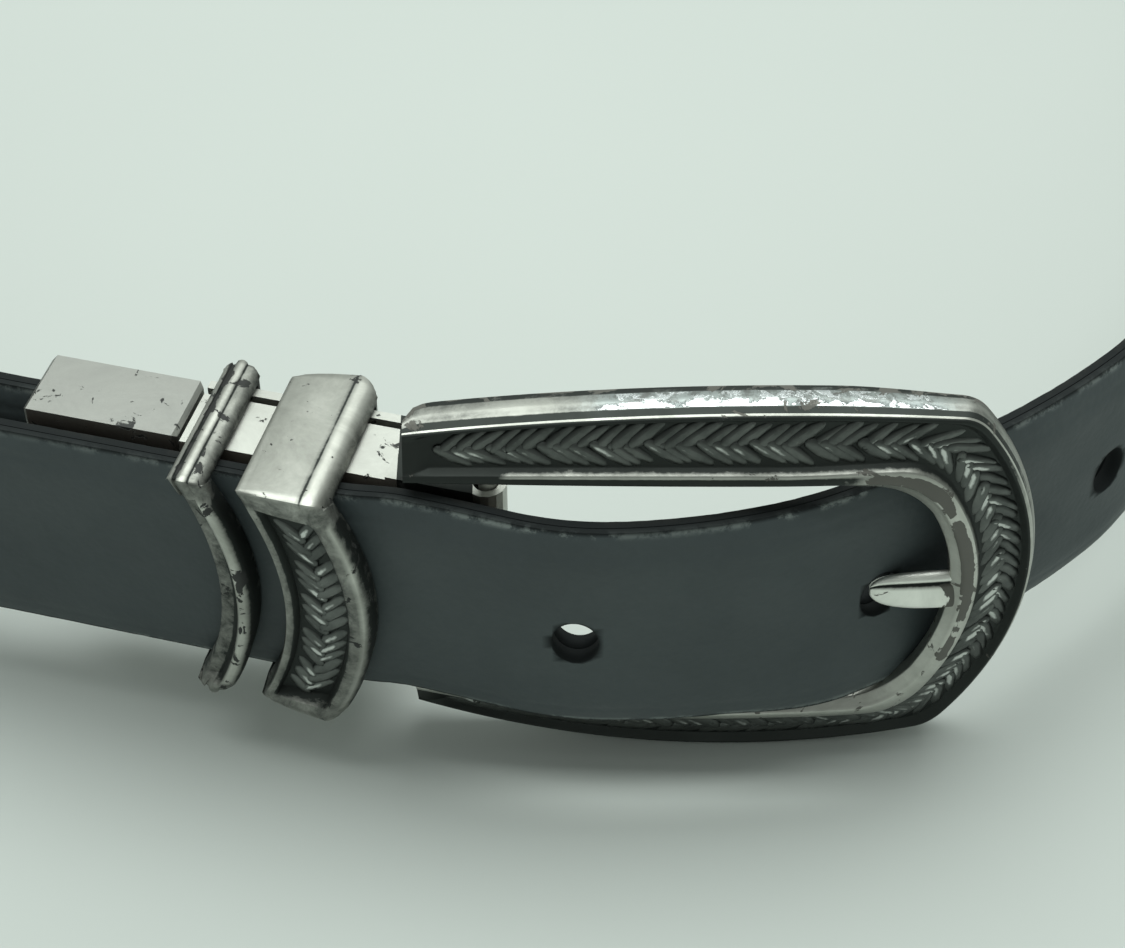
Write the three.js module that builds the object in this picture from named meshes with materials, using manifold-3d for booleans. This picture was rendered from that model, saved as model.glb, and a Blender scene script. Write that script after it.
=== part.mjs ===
// Reversible leather belt, fastened and standing on its edge. Millimetres, +Z up.
// The buckle faces -Y, the loop of the belt runs back towards +Y, and X runs along the buckle.
import * as THREE from 'three';
import { mergeVertices } from 'three/addons/utils/BufferGeometryUtils.js';
import Module from 'manifold-3d';

const wasm = await Module();
wasm.setup();

// Driving dimensions

const CLEARANCE = 0.3; // running gap between neighbours
const FUSE = 0.5; // how far a feature sinks into the body it is cast with

const STRAP_WIDTH = 25.4;
const STRAP_THICKNESS = 3.4; // both plies, at mid width
const EDGE_THICKNESS = 1.4; // both plies, at the feathered edges
const FEATHER_WIDTH = 4.5;
const GLUE_LINE = 0.3;
const STRAP_LEAN = 0.4; // right of the heel bar the upper edge leans in by this, the lower edge out
const STRAP_LIFT = 9.5; // lower edge of the strap above the table, at the buckle
const CLAMP_LIFT = 8.8; // the same at the clamp and its keepers
const CLOSED_LENGTH = 800; // once round the fastened belt
const TIP_ROUNDING = 15; // length over which the free end rounds off
const END_TRIM = 0.6; // taken off each edge of the fixed end, inside the clamp block

const HOLE_COUNT = 5;
const HOLE_PITCH = 28.2;
const HOLE_WIDTH = 4.3;
const HOLE_HEIGHT = 5.3;
const HOLE_TO_TIP = 80;
const HOLE_DROP = 0.8; // below the strap's middle
const FASTENED_HOLE = 1; // counted from the free end, starting at 0

const FRAME_LENGTH = 57.1; // the D-shaped buckle frame
const FRAME_HEIGHT = 45.0;
const FRAME_PEAK = 31.0; // from the open end to where the legs are furthest apart
const FRAME_LEG_RADIUS = 115;
const FRAME_END_RADIUS = 33;
const FRAME_CORNER_CUT = 1.4;
const FRAME_BOW_RADIUS = 200; // lengthwise arch of the frame, towards the wearer at its ends
const OPENING_LENGTH = 49.7;
const OPENING_HEIGHT = 29.8;
const OPENING_LEG_RADIUS = 300;
const OPENING_END_RADIUS = 23;
const OPENING_CORNER_CUT = 3.6;
const RIM_DEPTH = 3.3; // front to back at the opening
const END_RIM_DEPTH = 2.5; // the same at the round end, where the strap passes behind
const WALL_DEPTH = 3.7; // front to back at the outer wall of the legs
const END_WALL_DEPTH = 2.9; // the same at the round end
const FACE_SLOPE = 2.0; // how far the outer ridge lies behind the inner rim
const WALL_BULGE = 0.35;
const CHANNEL_DEPTH = 0.75;
const CHANNEL_END = 1.4; // plain metal before the channel at each leg's end

const BRAID_RELIEF = 0.6;
const BRAID_PITCH = 1.7; // along the channel, from strand to strand
const BRAID_REACH = 1.9; // how far a strand runs along the channel as it crosses half of it

const HEEL_BAR_SETBACK = 7.4; // from the legs' ends
const HEEL_BAR_DEPTH = 2.9; // behind the rim's face
const HEEL_BAR_DIAMETER = 1.8;
const PRONG_LENGTH = 6.9;
const PRONG_WIDTH = 4.2;
const PRONG_THICKNESS = 1.8;
const PRONG_SETBACK = 1.2; // the middle of its root, behind the rim's face
const PRONG_DROP = 0.6; // how far the tip bends back, towards the hole

const CLAMP_YAW = 14.6; // degrees between the clamp's line and the buckle's
const CLAMP_TO_HEEL_BAR = 27.4; // from the plain keeper's place to the heel bar
const BLOCK_LENGTH = 15.0;
const BLOCK_DEPTH = 7.5;
const BLOCK_HEIGHT = 26.4;
const BLOCK_EDGE = 0.4;
const SLOT_LENGTH = 9.6; // how deep the strap's fixed end goes into the block
const CARRIER_DEPTH = 6.5;
const CARRIER_HEIGHT = 25.4;
const CARRIER_COLLAR = 0.8; // carrier showing between the block and the plain keeper's place
const CARRIER_REACH = 19.2; // carrier beyond the plain keeper's place
const BACK_PLATE = 1.0;
const BACK_SLOT = 0.8;
const BACK_SLOT_DROP = 3.7; // the webs behind the slot end this far below the carrier's top
const NECK_DEPTH = 3.2;
const NECK_HEIGHT = 24;
const BARREL_WALL = 0.7;
const POST_DIAMETER = 4.4;
const POST_GRIP = 4.2; // how far the swivel post reaches into each of its neighbours

const KEEPER_FRONT_WALL = 2.1;
const KEEPER_WALL = 1.1;
const KEEPER_BOW = 3.5; // sideways bow of the front plate
const KEEPER_CORNER = 0.9;
const KEEPER_PLAY = 0.3; // room between the keeper and what it goes round
const PLAIN_KEEPER_WIDTH = 3.5;
const BRAIDED_KEEPER_WIDTH = 8.4;
const KEEPER_GAP = 3.0;

// The strap's plan. Each row is a stretch of steady bend: its length as a share of the frame's
// length, and the heading in degrees that it ends with. Headings turn from +X towards +Y.
const OVER_HEEL_BAR = -17;
const TOWARDS_RIGHT = [
  { stretch: 'over the heel bar', share: 0.06, heading: OVER_HEEL_BAR },
  { stretch: 'bend', share: 0.15, heading: 0 },
  { stretch: 'across the opening', share: 0.22, heading: 12 },
  { stretch: 'down to the hole', share: 0.16, heading: 26 },
  { stretch: 'behind the round end', share: 0.3, heading: 33 },
  { stretch: 'free side', share: 0.26, heading: 43 },
  { stretch: 'crease', share: 0.1, heading: 52 },
  { stretch: 'beyond the crease', share: 0.1, heading: 53 },
];
const TOWARDS_TIP = [
  { stretch: 'down to the carrier', share: 0.17, heading: -CLAMP_YAW },
  { stretch: 'inside the keepers', share: 0.72, heading: -CLAMP_YAW },
  { stretch: 'free end', share: 0.5, heading: -22 },
];
const FROM_CLAMP = [
  { stretch: 'leaving the block', share: 0.05, heading: -CLAMP_YAW },
  { stretch: 'turning into the loop', share: 0.24, heading: -34 },
];
// The hidden stretch is two smooth curves that meet at the back: handle lengths as shares of the
// loop's depth.
const SIDE_HANDLE = 0.68;
const BACK_HANDLE = 0.5;

// Keeper profiles, from the left edge (across 0) to the right edge (across 1). Rise is measured
// outwards from the keeper's box, on its bars and on the middle of its front plate.
const PLAIN_PROFILE = [
  { across: 0, bars: -0.6, front: -0.9 },
  { across: 0.08, bars: -0.1, front: -0.75 },
  { across: 0.32, bars: 0.3, front: -0.7 },
  { across: 0.48, bars: 0.4, front: -0.7 },
  { across: 0.56, bars: 0.35, front: 0.2 },
  { across: 0.64, bars: 0.05, front: 0.5 },
  { across: 0.8, bars: 0.1, front: 0.5 },
  { across: 0.93, bars: -0.3, front: 0.2 },
  { across: 1, bars: -0.7, front: -0.6 },
];
const BRAIDED_PROFILE = [
  { across: 0, bars: -0.35, front: -0.35 },
  { across: 0.03, bars: -0.1, front: 0 },
  { across: 0.13, bars: 0.1, front: 0 },
  { across: 0.17, bars: 0.2, front: -0.75 },
  { across: 0.72, bars: 0.75, front: -0.75 },
  { across: 0.76, bars: 0.8, front: 0.45 },
  { across: 0.87, bars: 0.6, front: 0.5 },
  { across: 0.96, bars: -0.05, front: 0.1 },
  { across: 1, bars: -0.7, front: -0.7 },
];
const PANEL_LEFT = 0.17;
const PANEL_RIGHT = 0.72;
const PANEL_TOP = 2.2; // plain metal above the braided panel
const PANEL_BOTTOM = 1.2;

// Finishes

const leatherBlack = new THREE.MeshStandardMaterial({ color: 0x22282b, roughness: 0.62, metalness: 0 });
const leatherBrown = new THREE.MeshStandardMaterial({ color: 0x3a2a26, roughness: 0.66, metalness: 0 });
const silver = new THREE.MeshStandardMaterial({ color: 0xa9aca6, roughness: 0.34, metalness: 1 });
const satinSilver = new THREE.MeshStandardMaterial({ color: 0x9c9f9a, roughness: 0.42, metalness: 1 });
const darkSteel = new THREE.MeshStandardMaterial({ color: 0x5a5a56, roughness: 0.5, metalness: 1 });

// Mesh helpers

function toManifold(geometry) {
  const bare = geometry.clone();
  bare.deleteAttribute('normal');
  bare.deleteAttribute('uv');
  const merged = mergeVertices(bare, 1e-4);
  const vertProperties = new Float32Array(merged.attributes.position.array);
  const triVerts = new Uint32Array(merged.index.array);
  return new wasm.Manifold(new wasm.Mesh({ numProp: 3, vertProperties, triVerts }));
}

function toGeometry(manifold) {
  const mesh = manifold.getMesh();
  const geometry = new THREE.BufferGeometry();
  geometry.setAttribute('position', new THREE.BufferAttribute(new Float32Array(mesh.vertProperties), 3));
  geometry.setIndex(new THREE.BufferAttribute(new Uint32Array(mesh.triVerts), 1));
  geometry.computeVertexNormals();
  return geometry;
}

function join(solids) {
  return solids.reduce((whole, solid) => whole.add(solid));
}

function cut(solid, tools) {
  return tools.reduce((rest, tool) => rest.subtract(tool), solid);
}

// Two axes that span the plane of a closed outline.
function outlineAxes(outline) {
  const normal = new THREE.Vector3();
  outline.forEach((a, i) => {
    const b = outline[(i + 1) % outline.length];
    normal.add(new THREE.Vector3().crossVectors(a, b));
  });
  normal.normalize();
  const first = new THREE.Vector3().subVectors(outline[1], outline[0]);
  first.addScaledVector(normal, -first.dot(normal)).normalize();
  return [first, new THREE.Vector3().crossVectors(normal, first)];
}

// Triangles that fill an outline, wound the same way round as the outline itself.
function fillOutline(outline) {
  const [u, v] = outlineAxes(outline);
  const flat = outline.map((p) => new THREE.Vector2(p.dot(u), p.dot(v)));
  const turn = Math.sign(THREE.ShapeUtils.area(flat));
  return THREE.ShapeUtils.triangulateShape(flat, []).map((face) => {
    const area = THREE.ShapeUtils.area(face.map((i) => flat[i]));
    return Math.sign(area) === turn ? face : [face[0], face[2], face[1]];
  });
}

function volumeOf(positions, index) {
  const point = (i) => new THREE.Vector3().fromArray(positions, 3 * i);
  let sixfold = 0;
  for (let i = 0; i < index.length; i += 3) {
    const [a, b, c] = [point(index[i]), point(index[i + 1]), point(index[i + 2])];
    sixfold += a.dot(b.cross(c));
  }
  return sixfold / 6;
}

// Skins a row of closed outlines with equal numbers of points, and caps or closes the ends.
function loft(outlines, closed = false) {
  const count = outlines[0].length;
  const positions = outlines.flat().flatMap((p) => [p.x, p.y, p.z]);
  const index = [];
  const spans = closed ? outlines.length : outlines.length - 1;
  for (let r = 0; r < spans; r += 1) {
    const here = r * count;
    const there = ((r + 1) % outlines.length) * count;
    for (let c = 0; c < count; c += 1) {
      const next = (c + 1) % count;
      index.push(here + c, here + next, there + next, here + c, there + next, there + c);
    }
  }
  if (!closed) {
    const last = (outlines.length - 1) * count;
    fillOutline(outlines[0]).forEach(([a, b, c]) => index.push(a, c, b));
    fillOutline(outlines.at(-1)).forEach(([a, b, c]) => index.push(last + a, last + b, last + c));
  }
  if (volumeOf(positions, index) < 0) {
    index.reverse();
  }
  const geometry = new THREE.BufferGeometry();
  geometry.setAttribute('position', new THREE.Float32BufferAttribute(positions, 3));
  geometry.setIndex(index);
  geometry.computeVertexNormals();
  return geometry;
}

// A plain box between two corners.
function block(low, high) {
  const size = high.clone().sub(low);
  const geometry = new THREE.BoxGeometry(size.x, size.y, size.z);
  geometry.translate(low.x + size.x / 2, low.y + size.y / 2, low.z + size.z / 2);
  return toManifold(geometry);
}

// A round bar between two points on one of the three axes.
function bar(from, to, diameter, sides = 16) {
  const along = to.clone().sub(from);
  const geometry = new THREE.CylinderGeometry(diameter / 2, diameter / 2, along.length(), sides);
  const axis = along.clone().normalize();
  geometry.applyQuaternion(new THREE.Quaternion().setFromUnitVectors(new THREE.Vector3(0, 1, 0), axis));
  geometry.translate(...from.clone().addScaledVector(along, 0.5).toArray());
  return toManifold(geometry);
}

// The two neighbours in a rising table between which a value lies, and its share of the way.
function between(table, key, value) {
  const above = table.findIndex((row) => row[key] > value);
  const i = above < 0 ? table.length - 1 : Math.max(above, 1);
  const [a, b] = [table[i - 1], table[i]];
  return { a, b, share: THREE.MathUtils.clamp((value - a[key]) / (b[key] - a[key]), 0, 1) };
}

// The strap's route in plan

const FRAME_MIDDLE_Z = FRAME_HEIGHT / 2;
const frameBow = (x) => (x - FRAME_LENGTH / 2) ** 2 / (2 * FRAME_BOW_RADIUS);
const heelBar = new THREE.Vector2(HEEL_BAR_SETBACK, frameBow(HEEL_BAR_SETBACK) + HEEL_BAR_DEPTH);
const BARREL_RADIUS = HEEL_BAR_DIAMETER / 2 + CLEARANCE + BARREL_WALL;
const CLAMP_REACH = 6; // left of the frame's legs, over which the strap's edge goes down to the clamp

// Walks from a point along the rows of a table, forwards or backwards, in short straight steps.
function walk(start, startHeading, rows, direction) {
  const points = [start.clone()];
  let heading = startHeading;
  rows.forEach((row) => {
    const length = row.share * FRAME_LENGTH;
    const steps = Math.ceil(length);
    const turn = (row.heading - heading) / steps;
    for (let i = 0; i < steps; i += 1) {
      const angle = THREE.MathUtils.degToRad(heading + turn / 2);
      const step = (direction * length) / steps;
      const last = points.at(-1);
      points.push(new THREE.Vector2(last.x + step * Math.cos(angle), last.y + step * Math.sin(angle)));
      heading += turn;
    }
  });
  return { points, heading };
}

function lengthOf(points) {
  return points.slice(1).reduce((sum, p, i) => sum + p.distanceTo(points[i]), 0);
}

function unit(degrees) {
  const angle = THREE.MathUtils.degToRad(degrees);
  return new THREE.Vector2(Math.cos(angle), Math.sin(angle));
}

// The strap lies against the barrel on the heel bar.
const overBar = heelBar.clone().addScaledVector(
  unit(OVER_HEEL_BAR - 90),
  BARREL_RADIUS + CLEARANCE + STRAP_THICKNESS / 2,
);
const rightSide = walk(overBar, OVER_HEEL_BAR, TOWARDS_RIGHT, 1);
const tipSide = walk(overBar, OVER_HEEL_BAR, TOWARDS_TIP, -1);

// The clamp's own frame: X along the strap from the plain keeper's place, Y back from the middle
// of the strap in front of it.
const downEnd = walk(overBar, OVER_HEEL_BAR, TOWARDS_TIP.slice(0, 1), -1).points.at(-1);
const downLength = TOWARDS_TIP[0].share * FRAME_LENGTH;
const clampOrigin = downEnd.clone().addScaledVector(unit(-CLAMP_YAW), downLength - CLAMP_TO_HEEL_BAR);
const [clampX, clampY] = [unit(-CLAMP_YAW), unit(90 - CLAMP_YAW)];
const clampPoint = (x, y) => clampOrigin.clone().addScaledVector(clampX, x).addScaledVector(clampY, y);

const FRONT_STRAP_BACK = STRAP_THICKNESS / 2;
const CARRIER_FRONT = FRONT_STRAP_BACK + CLEARANCE;
const CARRIER_LEFT = -CARRIER_COLLAR;
const BLOCK_RIGHT = CARRIER_LEFT - CLEARANCE;
const BLOCK_LEFT = BLOCK_RIGHT - BLOCK_LENGTH;
const BLOCK_MIDDLE = CARRIER_FRONT + BLOCK_DEPTH / 2;

const mouth = clampPoint(BLOCK_LEFT, BLOCK_MIDDLE);
const bodySide = walk(mouth, -CLAMP_YAW, FROM_CLAMP, -1);
const bodyEnd = clampPoint(BLOCK_LEFT + SLOT_LENGTH, BLOCK_MIDDLE);

// The hidden stretch for a given depth of loop, from the right side round the back to the body.
function hiddenStretch(depth) {
  const from = rightSide.points.at(-1);
  const to = bodySide.points.at(-1);
  const back = new THREE.Vector2((from.x + to.x) / 2, from.y + depth);
  const side = depth * SIDE_HANDLE;
  const handle = new THREE.Vector2(depth * BACK_HANDLE, 0);
  const right = new THREE.CubicBezierCurve(
    from,
    from.clone().addScaledVector(unit(rightSide.heading), side),
    back.clone().add(handle),
    back,
  );
  const left = new THREE.CubicBezierCurve(
    back,
    back.clone().sub(handle),
    to.clone().addScaledVector(unit(bodySide.heading), -side),
    to,
  );
  return [...right.getSpacedPoints(120), ...left.getSpacedPoints(120).slice(1)];
}

function routeFor(depth) {
  const hidden = hiddenStretch(depth);
  return [...rightSide.points, ...hidden.slice(1, -1), ...bodySide.points.slice().reverse(), bodyEnd];
}

// The depth of loop that gives the closed belt its length.
function solveDepth() {
  const known = mouth.distanceTo(overBar) - SLOT_LENGTH;
  let low = CLOSED_LENGTH / 20;
  let high = CLOSED_LENGTH;
  for (let i = 0; i < 40; i += 1) {
    const middle = (low + high) / 2;
    if (lengthOf(routeFor(middle)) + known < CLOSED_LENGTH) {
      low = middle;
    } else {
      high = middle;
    }
  }
  return low;
}

// The whole route from the free end to the fixed end, with the distance along it.
function buildRoute() {
  const tipEnd = tipSide.points.slice(1).reverse();
  const forward = routeFor(solveDepth());
  const fastened = prongHolePlace(forward);
  const spare = HOLE_TO_TIP + FASTENED_HOLE * HOLE_PITCH - fastened;
  const points = [...trimStart(tipEnd, overBar, spare), ...forward];
  let along = 0;
  const stations = points.map((p, i) => {
    along += i ? p.distanceTo(points[i - 1]) : 0;
    return { along, x: p.x, y: p.y };
  });
  return { stations, length: along, firstHole: HOLE_TO_TIP };
}

// Where the fastened hole lies along the strap, measured from the heel bar: at the prong's tip.
function prongHolePlace(points) {
  const target = OPENING_LENGTH - PRONG_LENGTH - HOLE_WIDTH / 4;
  let along = 0;
  for (let i = 1; i < points.length; i += 1) {
    along += points[i].distanceTo(points[i - 1]);
    if (points[i].x >= target) {
      return along;
    }
  }
  return along;
}

// The free end's points, cut or lengthened so that it reaches a given length from the heel bar.
function trimStart(points, heel, length) {
  const kept = [];
  let along = 0;
  let last = heel;
  for (const p of points.slice().reverse()) {
    const step = p.distanceTo(last);
    if (along + step >= length) {
      break;
    }
    along += step;
    kept.push(p);
    last = p;
  }
  const rest = length - along;
  const end = last.clone().addScaledVector(unit(tipSide.heading), -rest);
  return [...kept, end].reverse();
}

const route = buildRoute();
const loopBack = Math.max(...route.stations.map((s) => s.y));
const shoulder = route.length - SLOT_LENGTH - CLEARANCE; // the fixed end is trimmed from here on

// The strap's lower edge comes down from the buckle to the table at the back of the loop.
function lowerEdge({ x, y }) {
  const toClamp = THREE.MathUtils.smoothstep(-x, 0, CLAMP_REACH);
  const lift = THREE.MathUtils.lerp(STRAP_LIFT, CLAMP_LIFT, toClamp);
  return lift * (1 - THREE.MathUtils.smoothstep(y, FRAME_LENGTH / 3, loopBack - STRAP_WIDTH));
}

function stationAt(along) {
  const { a, b, share } = between(route.stations, 'along', along);
  const x = THREE.MathUtils.lerp(a.x, b.x, share);
  const y = THREE.MathUtils.lerp(a.y, b.y, share);
  return { along, x, y };
}

// Position and outward direction of the strap's middle at a distance from the free end.
function strapFrame(along) {
  const here = stationAt(along);
  const before = stationAt(Math.max(along - 1, 0));
  const after = stationAt(Math.min(along + 1, route.length));
  const tangent = new THREE.Vector2(after.x - before.x, after.y - before.y).normalize();
  return { ...here, tangent, out: new THREE.Vector2(tangent.y, -tangent.x) };
}

// Distances along the strap for its sections: closer where it bends and at the rounded tip.
function sectionPlaces() {
  const places = [0.01, 0.05, 0.15, 0.3, 0.5, 0.75, 1].map((share) => share * TIP_ROUNDING);
  const maxStep = 16;
  const minStep = 2;
  const maxTurn = THREE.MathUtils.degToRad(6.5);
  while (places.at(-1) < route.length) {
    const from = strapFrame(places.at(-1));
    let step = maxStep;
    const turnOver = (length) => Math.abs(from.tangent.angleTo(strapFrame(from.along + length).tangent));
    while (step > minStep && turnOver(step) > maxTurn) {
      step -= 0.5;
    }
    places.push(Math.min(from.along + step, route.length));
  }
  const bends = [-CLAMP_REACH, 0].map((x) => route.stations.find((s) => s.x >= x).along);
  const marks = [...bends, shoulder, shoulder + 0.01];
  const free = places.filter((place) => marks.every((mark) => Math.abs(place - mark) > minStep / 2));
  return [...free, ...marks].sort((a, b) => a - b);
}

// One ply's section: height from the strap's middle and distance out from the glue line.
function plySection(side, halfWidth, lean) {
  const inner = GLUE_LINE / 2;
  const feather = Math.min(FEATHER_WIDTH, halfWidth * 0.6);
  const rows = [
    { v: -halfWidth, w: inner },
    { v: -halfWidth, w: EDGE_THICKNESS / 2 },
    { v: feather - halfWidth, w: STRAP_THICKNESS / 2 },
    { v: halfWidth - feather, w: STRAP_THICKNESS / 2 },
    { v: halfWidth, w: EDGE_THICKNESS / 2 },
    { v: halfWidth, w: inner },
  ];
  return rows.map(({ v, w }) => ({ v, w: side * w - (lean * v) / (STRAP_WIDTH / 2) }));
}

function halfWidthAt(along) {
  const share = Math.min(along / TIP_ROUNDING, 1);
  const full = along > shoulder ? STRAP_WIDTH / 2 - END_TRIM : STRAP_WIDTH / 2;
  return full * Math.sqrt(1 - (1 - share) ** 2);
}

function strapPly(side) {
  const outlines = sectionPlaces().map((along) => {
    const { x, y, out } = strapFrame(along);
    const middle = lowerEdge({ x, y }) + STRAP_WIDTH / 2;
    const lean = STRAP_LEAN * THREE.MathUtils.smoothstep(x, 2 * HEEL_BAR_SETBACK, OPENING_LENGTH * 0.7);
    return plySection(side, halfWidthAt(along), lean).map(
      ({ v, w }) => new THREE.Vector3(x + out.x * w, y + out.y * w, middle + v),
    );
  });
  return toGeometry(cut(toManifold(loft(outlines)), holePunches()));
}

// Oval punches through both plies, one for each hole.
function holePunches() {
  const oval = new THREE.Shape();
  oval.absellipse(0, 0, HOLE_WIDTH / 2, HOLE_HEIGHT / 2, 0, 2 * Math.PI);
  const depth = STRAP_THICKNESS * 2;
  return Array.from({ length: HOLE_COUNT }, (_, i) => {
    const { x, y, out } = strapFrame(route.firstHole + i * HOLE_PITCH);
    const geometry = new THREE.ExtrudeGeometry(oval, { depth, bevelEnabled: false, curveSegments: 8 });
    geometry.translate(0, 0, -depth / 2);
    geometry.rotateX(Math.PI / 2);
    geometry.rotateZ(Math.atan2(out.y, out.x) + Math.PI / 2);
    geometry.translate(x, y, lowerEdge({ x, y }) + STRAP_WIDTH / 2 - HOLE_DROP);
    return toManifold(geometry);
  });
}

// The buckle frame's outlines: two leg arcs, two rounded corners and a round end

const outerOutline = {
  length: FRAME_LENGTH,
  peak: FRAME_HEIGHT / 2 - WALL_BULGE,
  peakPlace: FRAME_PEAK,
  legRadius: FRAME_LEG_RADIUS,
  endRadius: FRAME_END_RADIUS,
  corner: FRAME_CORNER_CUT,
};
const innerOutline = {
  length: OPENING_LENGTH,
  peak: OPENING_HEIGHT / 2,
  peakPlace: FRAME_LENGTH / 2,
  legRadius: OPENING_LEG_RADIUS,
  endRadius: OPENING_END_RADIUS,
  corner: OPENING_CORNER_CUT,
};

const LEG_STEPS = 12;
const CORNER_STEPS = 5;
const END_STEPS = 8;

function outlinePoints({ length, peak, peakPlace, legRadius, endRadius, corner }) {
  const legHeight = (x) => peak - legRadius + Math.sqrt(legRadius ** 2 - (x - peakPlace) ** 2);
  const endPlace = (v) => length - endRadius + Math.sqrt(Math.max(endRadius ** 2 - v ** 2, 0));
  let tip = new THREE.Vector2(length, peak);
  for (let i = 0; i < 30; i += 1) {
    tip = new THREE.Vector2(endPlace(tip.y), legHeight(tip.x));
  }
  const onLeg = new THREE.Vector2(tip.x - corner, legHeight(tip.x - corner));
  const onEnd = new THREE.Vector2(endPlace(tip.y - corner), tip.y - corner);
  const leg = Array.from({ length: LEG_STEPS + 1 }, (_, i) => {
    const x = (onLeg.x * i) / LEG_STEPS;
    return new THREE.Vector2(x, legHeight(x));
  });
  const turn = new THREE.QuadraticBezierCurve(onLeg, tip, onEnd).getPoints(CORNER_STEPS).slice(1);
  const end = Array.from({ length: END_STEPS }, (_, i) => {
    const v = onEnd.y * (1 - (i + 1) / END_STEPS);
    return new THREE.Vector2(endPlace(v), v);
  });
  const upper = [...leg, ...turn, ...end];
  const lower = upper.slice(0, -1).reverse().map((p) => new THREE.Vector2(p.x, -p.y));
  return [...upper, ...lower];
}

// Shares of the frame's width, from the opening to the outer ridge.
const RIM_SHARE = 0.21;
const RIDGE_SHARE = 0.07;
const EASE = 0.05; // over which each side of the channel drops
const CHANNEL_MIDDLE = 0.55; // lengths along the ring are taken here

const ring = (() => {
  const inner = outlinePoints(innerOutline);
  const outer = outlinePoints(outerOutline);
  let along = 0;
  let last = null;
  return inner.map((inside, i) => {
    const outside = outer[i];
    const middle = inside.clone().lerp(outside, CHANNEL_MIDDLE);
    along += last ? middle.distanceTo(last) : 0;
    last = middle;
    const endness = THREE.MathUtils.smoothstep(middle.x, OPENING_LENGTH * 0.7, OPENING_LENGTH * 0.95);
    return { inside, outside, along, endness };
  });
})();
const ringLength = ring.at(-1).along;

// A point of the frame: share across from the opening to the outer ridge, and depth from the face.
function framePoint({ inside, outside }, share, depth) {
  const p = inside.clone().lerp(outside, share);
  return new THREE.Vector3(p.x, frameBow(p.x) + depth, FRAME_MIDDLE_Z + p.y);
}

function frameSection(station) {
  const { inside, outside, along, endness } = station;
  const width = inside.distanceTo(outside);
  const fromEnd = Math.min(along, ringLength - along);
  const recess = CHANNEL_DEPTH * THREE.MathUtils.smoothstep(fromEnd, CHANNEL_END * 0.8, CHANNEL_END * 1.6);
  const wall = THREE.MathUtils.lerp(WALL_DEPTH, END_WALL_DEPTH, endness);
  const rim = THREE.MathUtils.lerp(RIM_DEPTH, END_RIM_DEPTH, endness);
  const bulge = WALL_BULGE / width;
  const face = (share) => FACE_SLOPE * share;
  const rows = [
    { share: 0, depth: 0.8 },
    { share: 0.09, depth: 0 },
    { share: RIM_SHARE, depth: face(RIM_SHARE) * 0.5 },
    { share: RIM_SHARE + EASE, depth: face(RIM_SHARE) + recess },
    { share: 1 - RIDGE_SHARE - EASE, depth: face(0.8) + recess },
    { share: 1 - RIDGE_SHARE, depth: face(0.8) },
    { share: 0.97, depth: face(0.9) },
    { share: 1, depth: face(1) + 0.2 },
    { share: 1 + bulge, depth: face(1) + wall * 0.45 },
    { share: 1 + bulge * 0.4, depth: face(1) + wall },
    { share: 0.78, depth: face(1) + wall },
    { share: 0.1, depth: rim },
    { share: 0, depth: rim - 0.4 },
  ];
  return rows.map(({ share, depth }) => framePoint(station, share, depth));
}

// The ring's station at a distance along its channel.
function ringAt(along) {
  const { a, b, share } = between(ring, 'along', along);
  const inside = a.inside.clone().lerp(b.inside, share);
  const outside = a.outside.clone().lerp(b.outside, share);
  return { inside, outside };
}

// Shares of the braid's pitch, and of the channel's width for the gap and the margin.
const STRAND_BASE = 0.84;
const STRAND_CREST = 0.4;
const STRAND_LAG = 0.25; // how far the strands of one side lie behind the other side's
const STRAND_GAP = 0.02;
const STRAND_MARGIN = 0.03;

// Raised braid: pairs of strands that start at the channel's middle and splay towards its sides.
// pointAt(along, share, lift) places a point, with share running across the channel from 0 to 1.
function braidStrands(pointAt, length, reach) {
  const strands = [];
  const half = (BRAID_PITCH * STRAND_BASE) / 2;
  const crest = (BRAID_PITCH * STRAND_CREST) / 2;
  const count = Math.floor((length - reach - half) / BRAID_PITCH);
  for (let i = 0; i < count; i += 1) {
    const start = half + i * BRAID_PITCH;
    [0, 1].forEach((side) => {
      const middle = 0.5 + (side ? STRAND_GAP : -STRAND_GAP);
      const edge = side ? 1 - STRAND_MARGIN : STRAND_MARGIN;
      const shift = side * BRAID_PITCH * STRAND_LAG;
      const outline = (share, along) => [
        pointAt(along - half, share, -FUSE),
        pointAt(along - crest, share, BRAID_RELIEF),
        pointAt(along + crest, share, BRAID_RELIEF),
        pointAt(along + half, share, -FUSE),
      ];
      const ends = [outline(middle, start + shift), outline(edge, start + reach + shift)];
      strands.push(toManifold(loft(ends)));
    });
  }
  return strands;
}

// The fixed prong: a blunt beak from the rim of the round end, its tip bent back to the hole.
const PRONG_SECTIONS = [
  { reach: -0.12, width: 1.1, thickness: 0.9 },
  { reach: 0.1, width: 1, thickness: 1 },
  { reach: 0.45, width: 0.95, thickness: 1 },
  { reach: 0.75, width: 0.85, thickness: 0.8 },
  { reach: 0.93, width: 0.55, thickness: 0.55 },
  { reach: 1, width: 0.3, thickness: 0.35 },
];

function prong() {
  const outlines = PRONG_SECTIONS.map(({ reach, width, thickness }) => {
    const x = OPENING_LENGTH - reach * PRONG_LENGTH;
    const y = frameBow(x) + PRONG_SETBACK + PRONG_DROP * Math.max(reach, 0) ** 2;
    const halfWidth = (width * PRONG_WIDTH) / 2;
    const half = (thickness * PRONG_THICKNESS) / 2;
    const rows = [
      { v: -1, w: 0.1 },
      { v: -0.75, w: -0.75 },
      { v: 0.35, w: -1 },
      { v: 0.9, w: -0.5 },
      { v: 1, w: 0.4 },
      { v: 0.5, w: 1 },
      { v: -0.6, w: 1 },
    ];
    return rows.map(({ v, w }) => new THREE.Vector3(x, y + w * half, FRAME_MIDDLE_Z + v * halfWidth));
  });
  return toManifold(loft(outlines));
}

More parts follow.
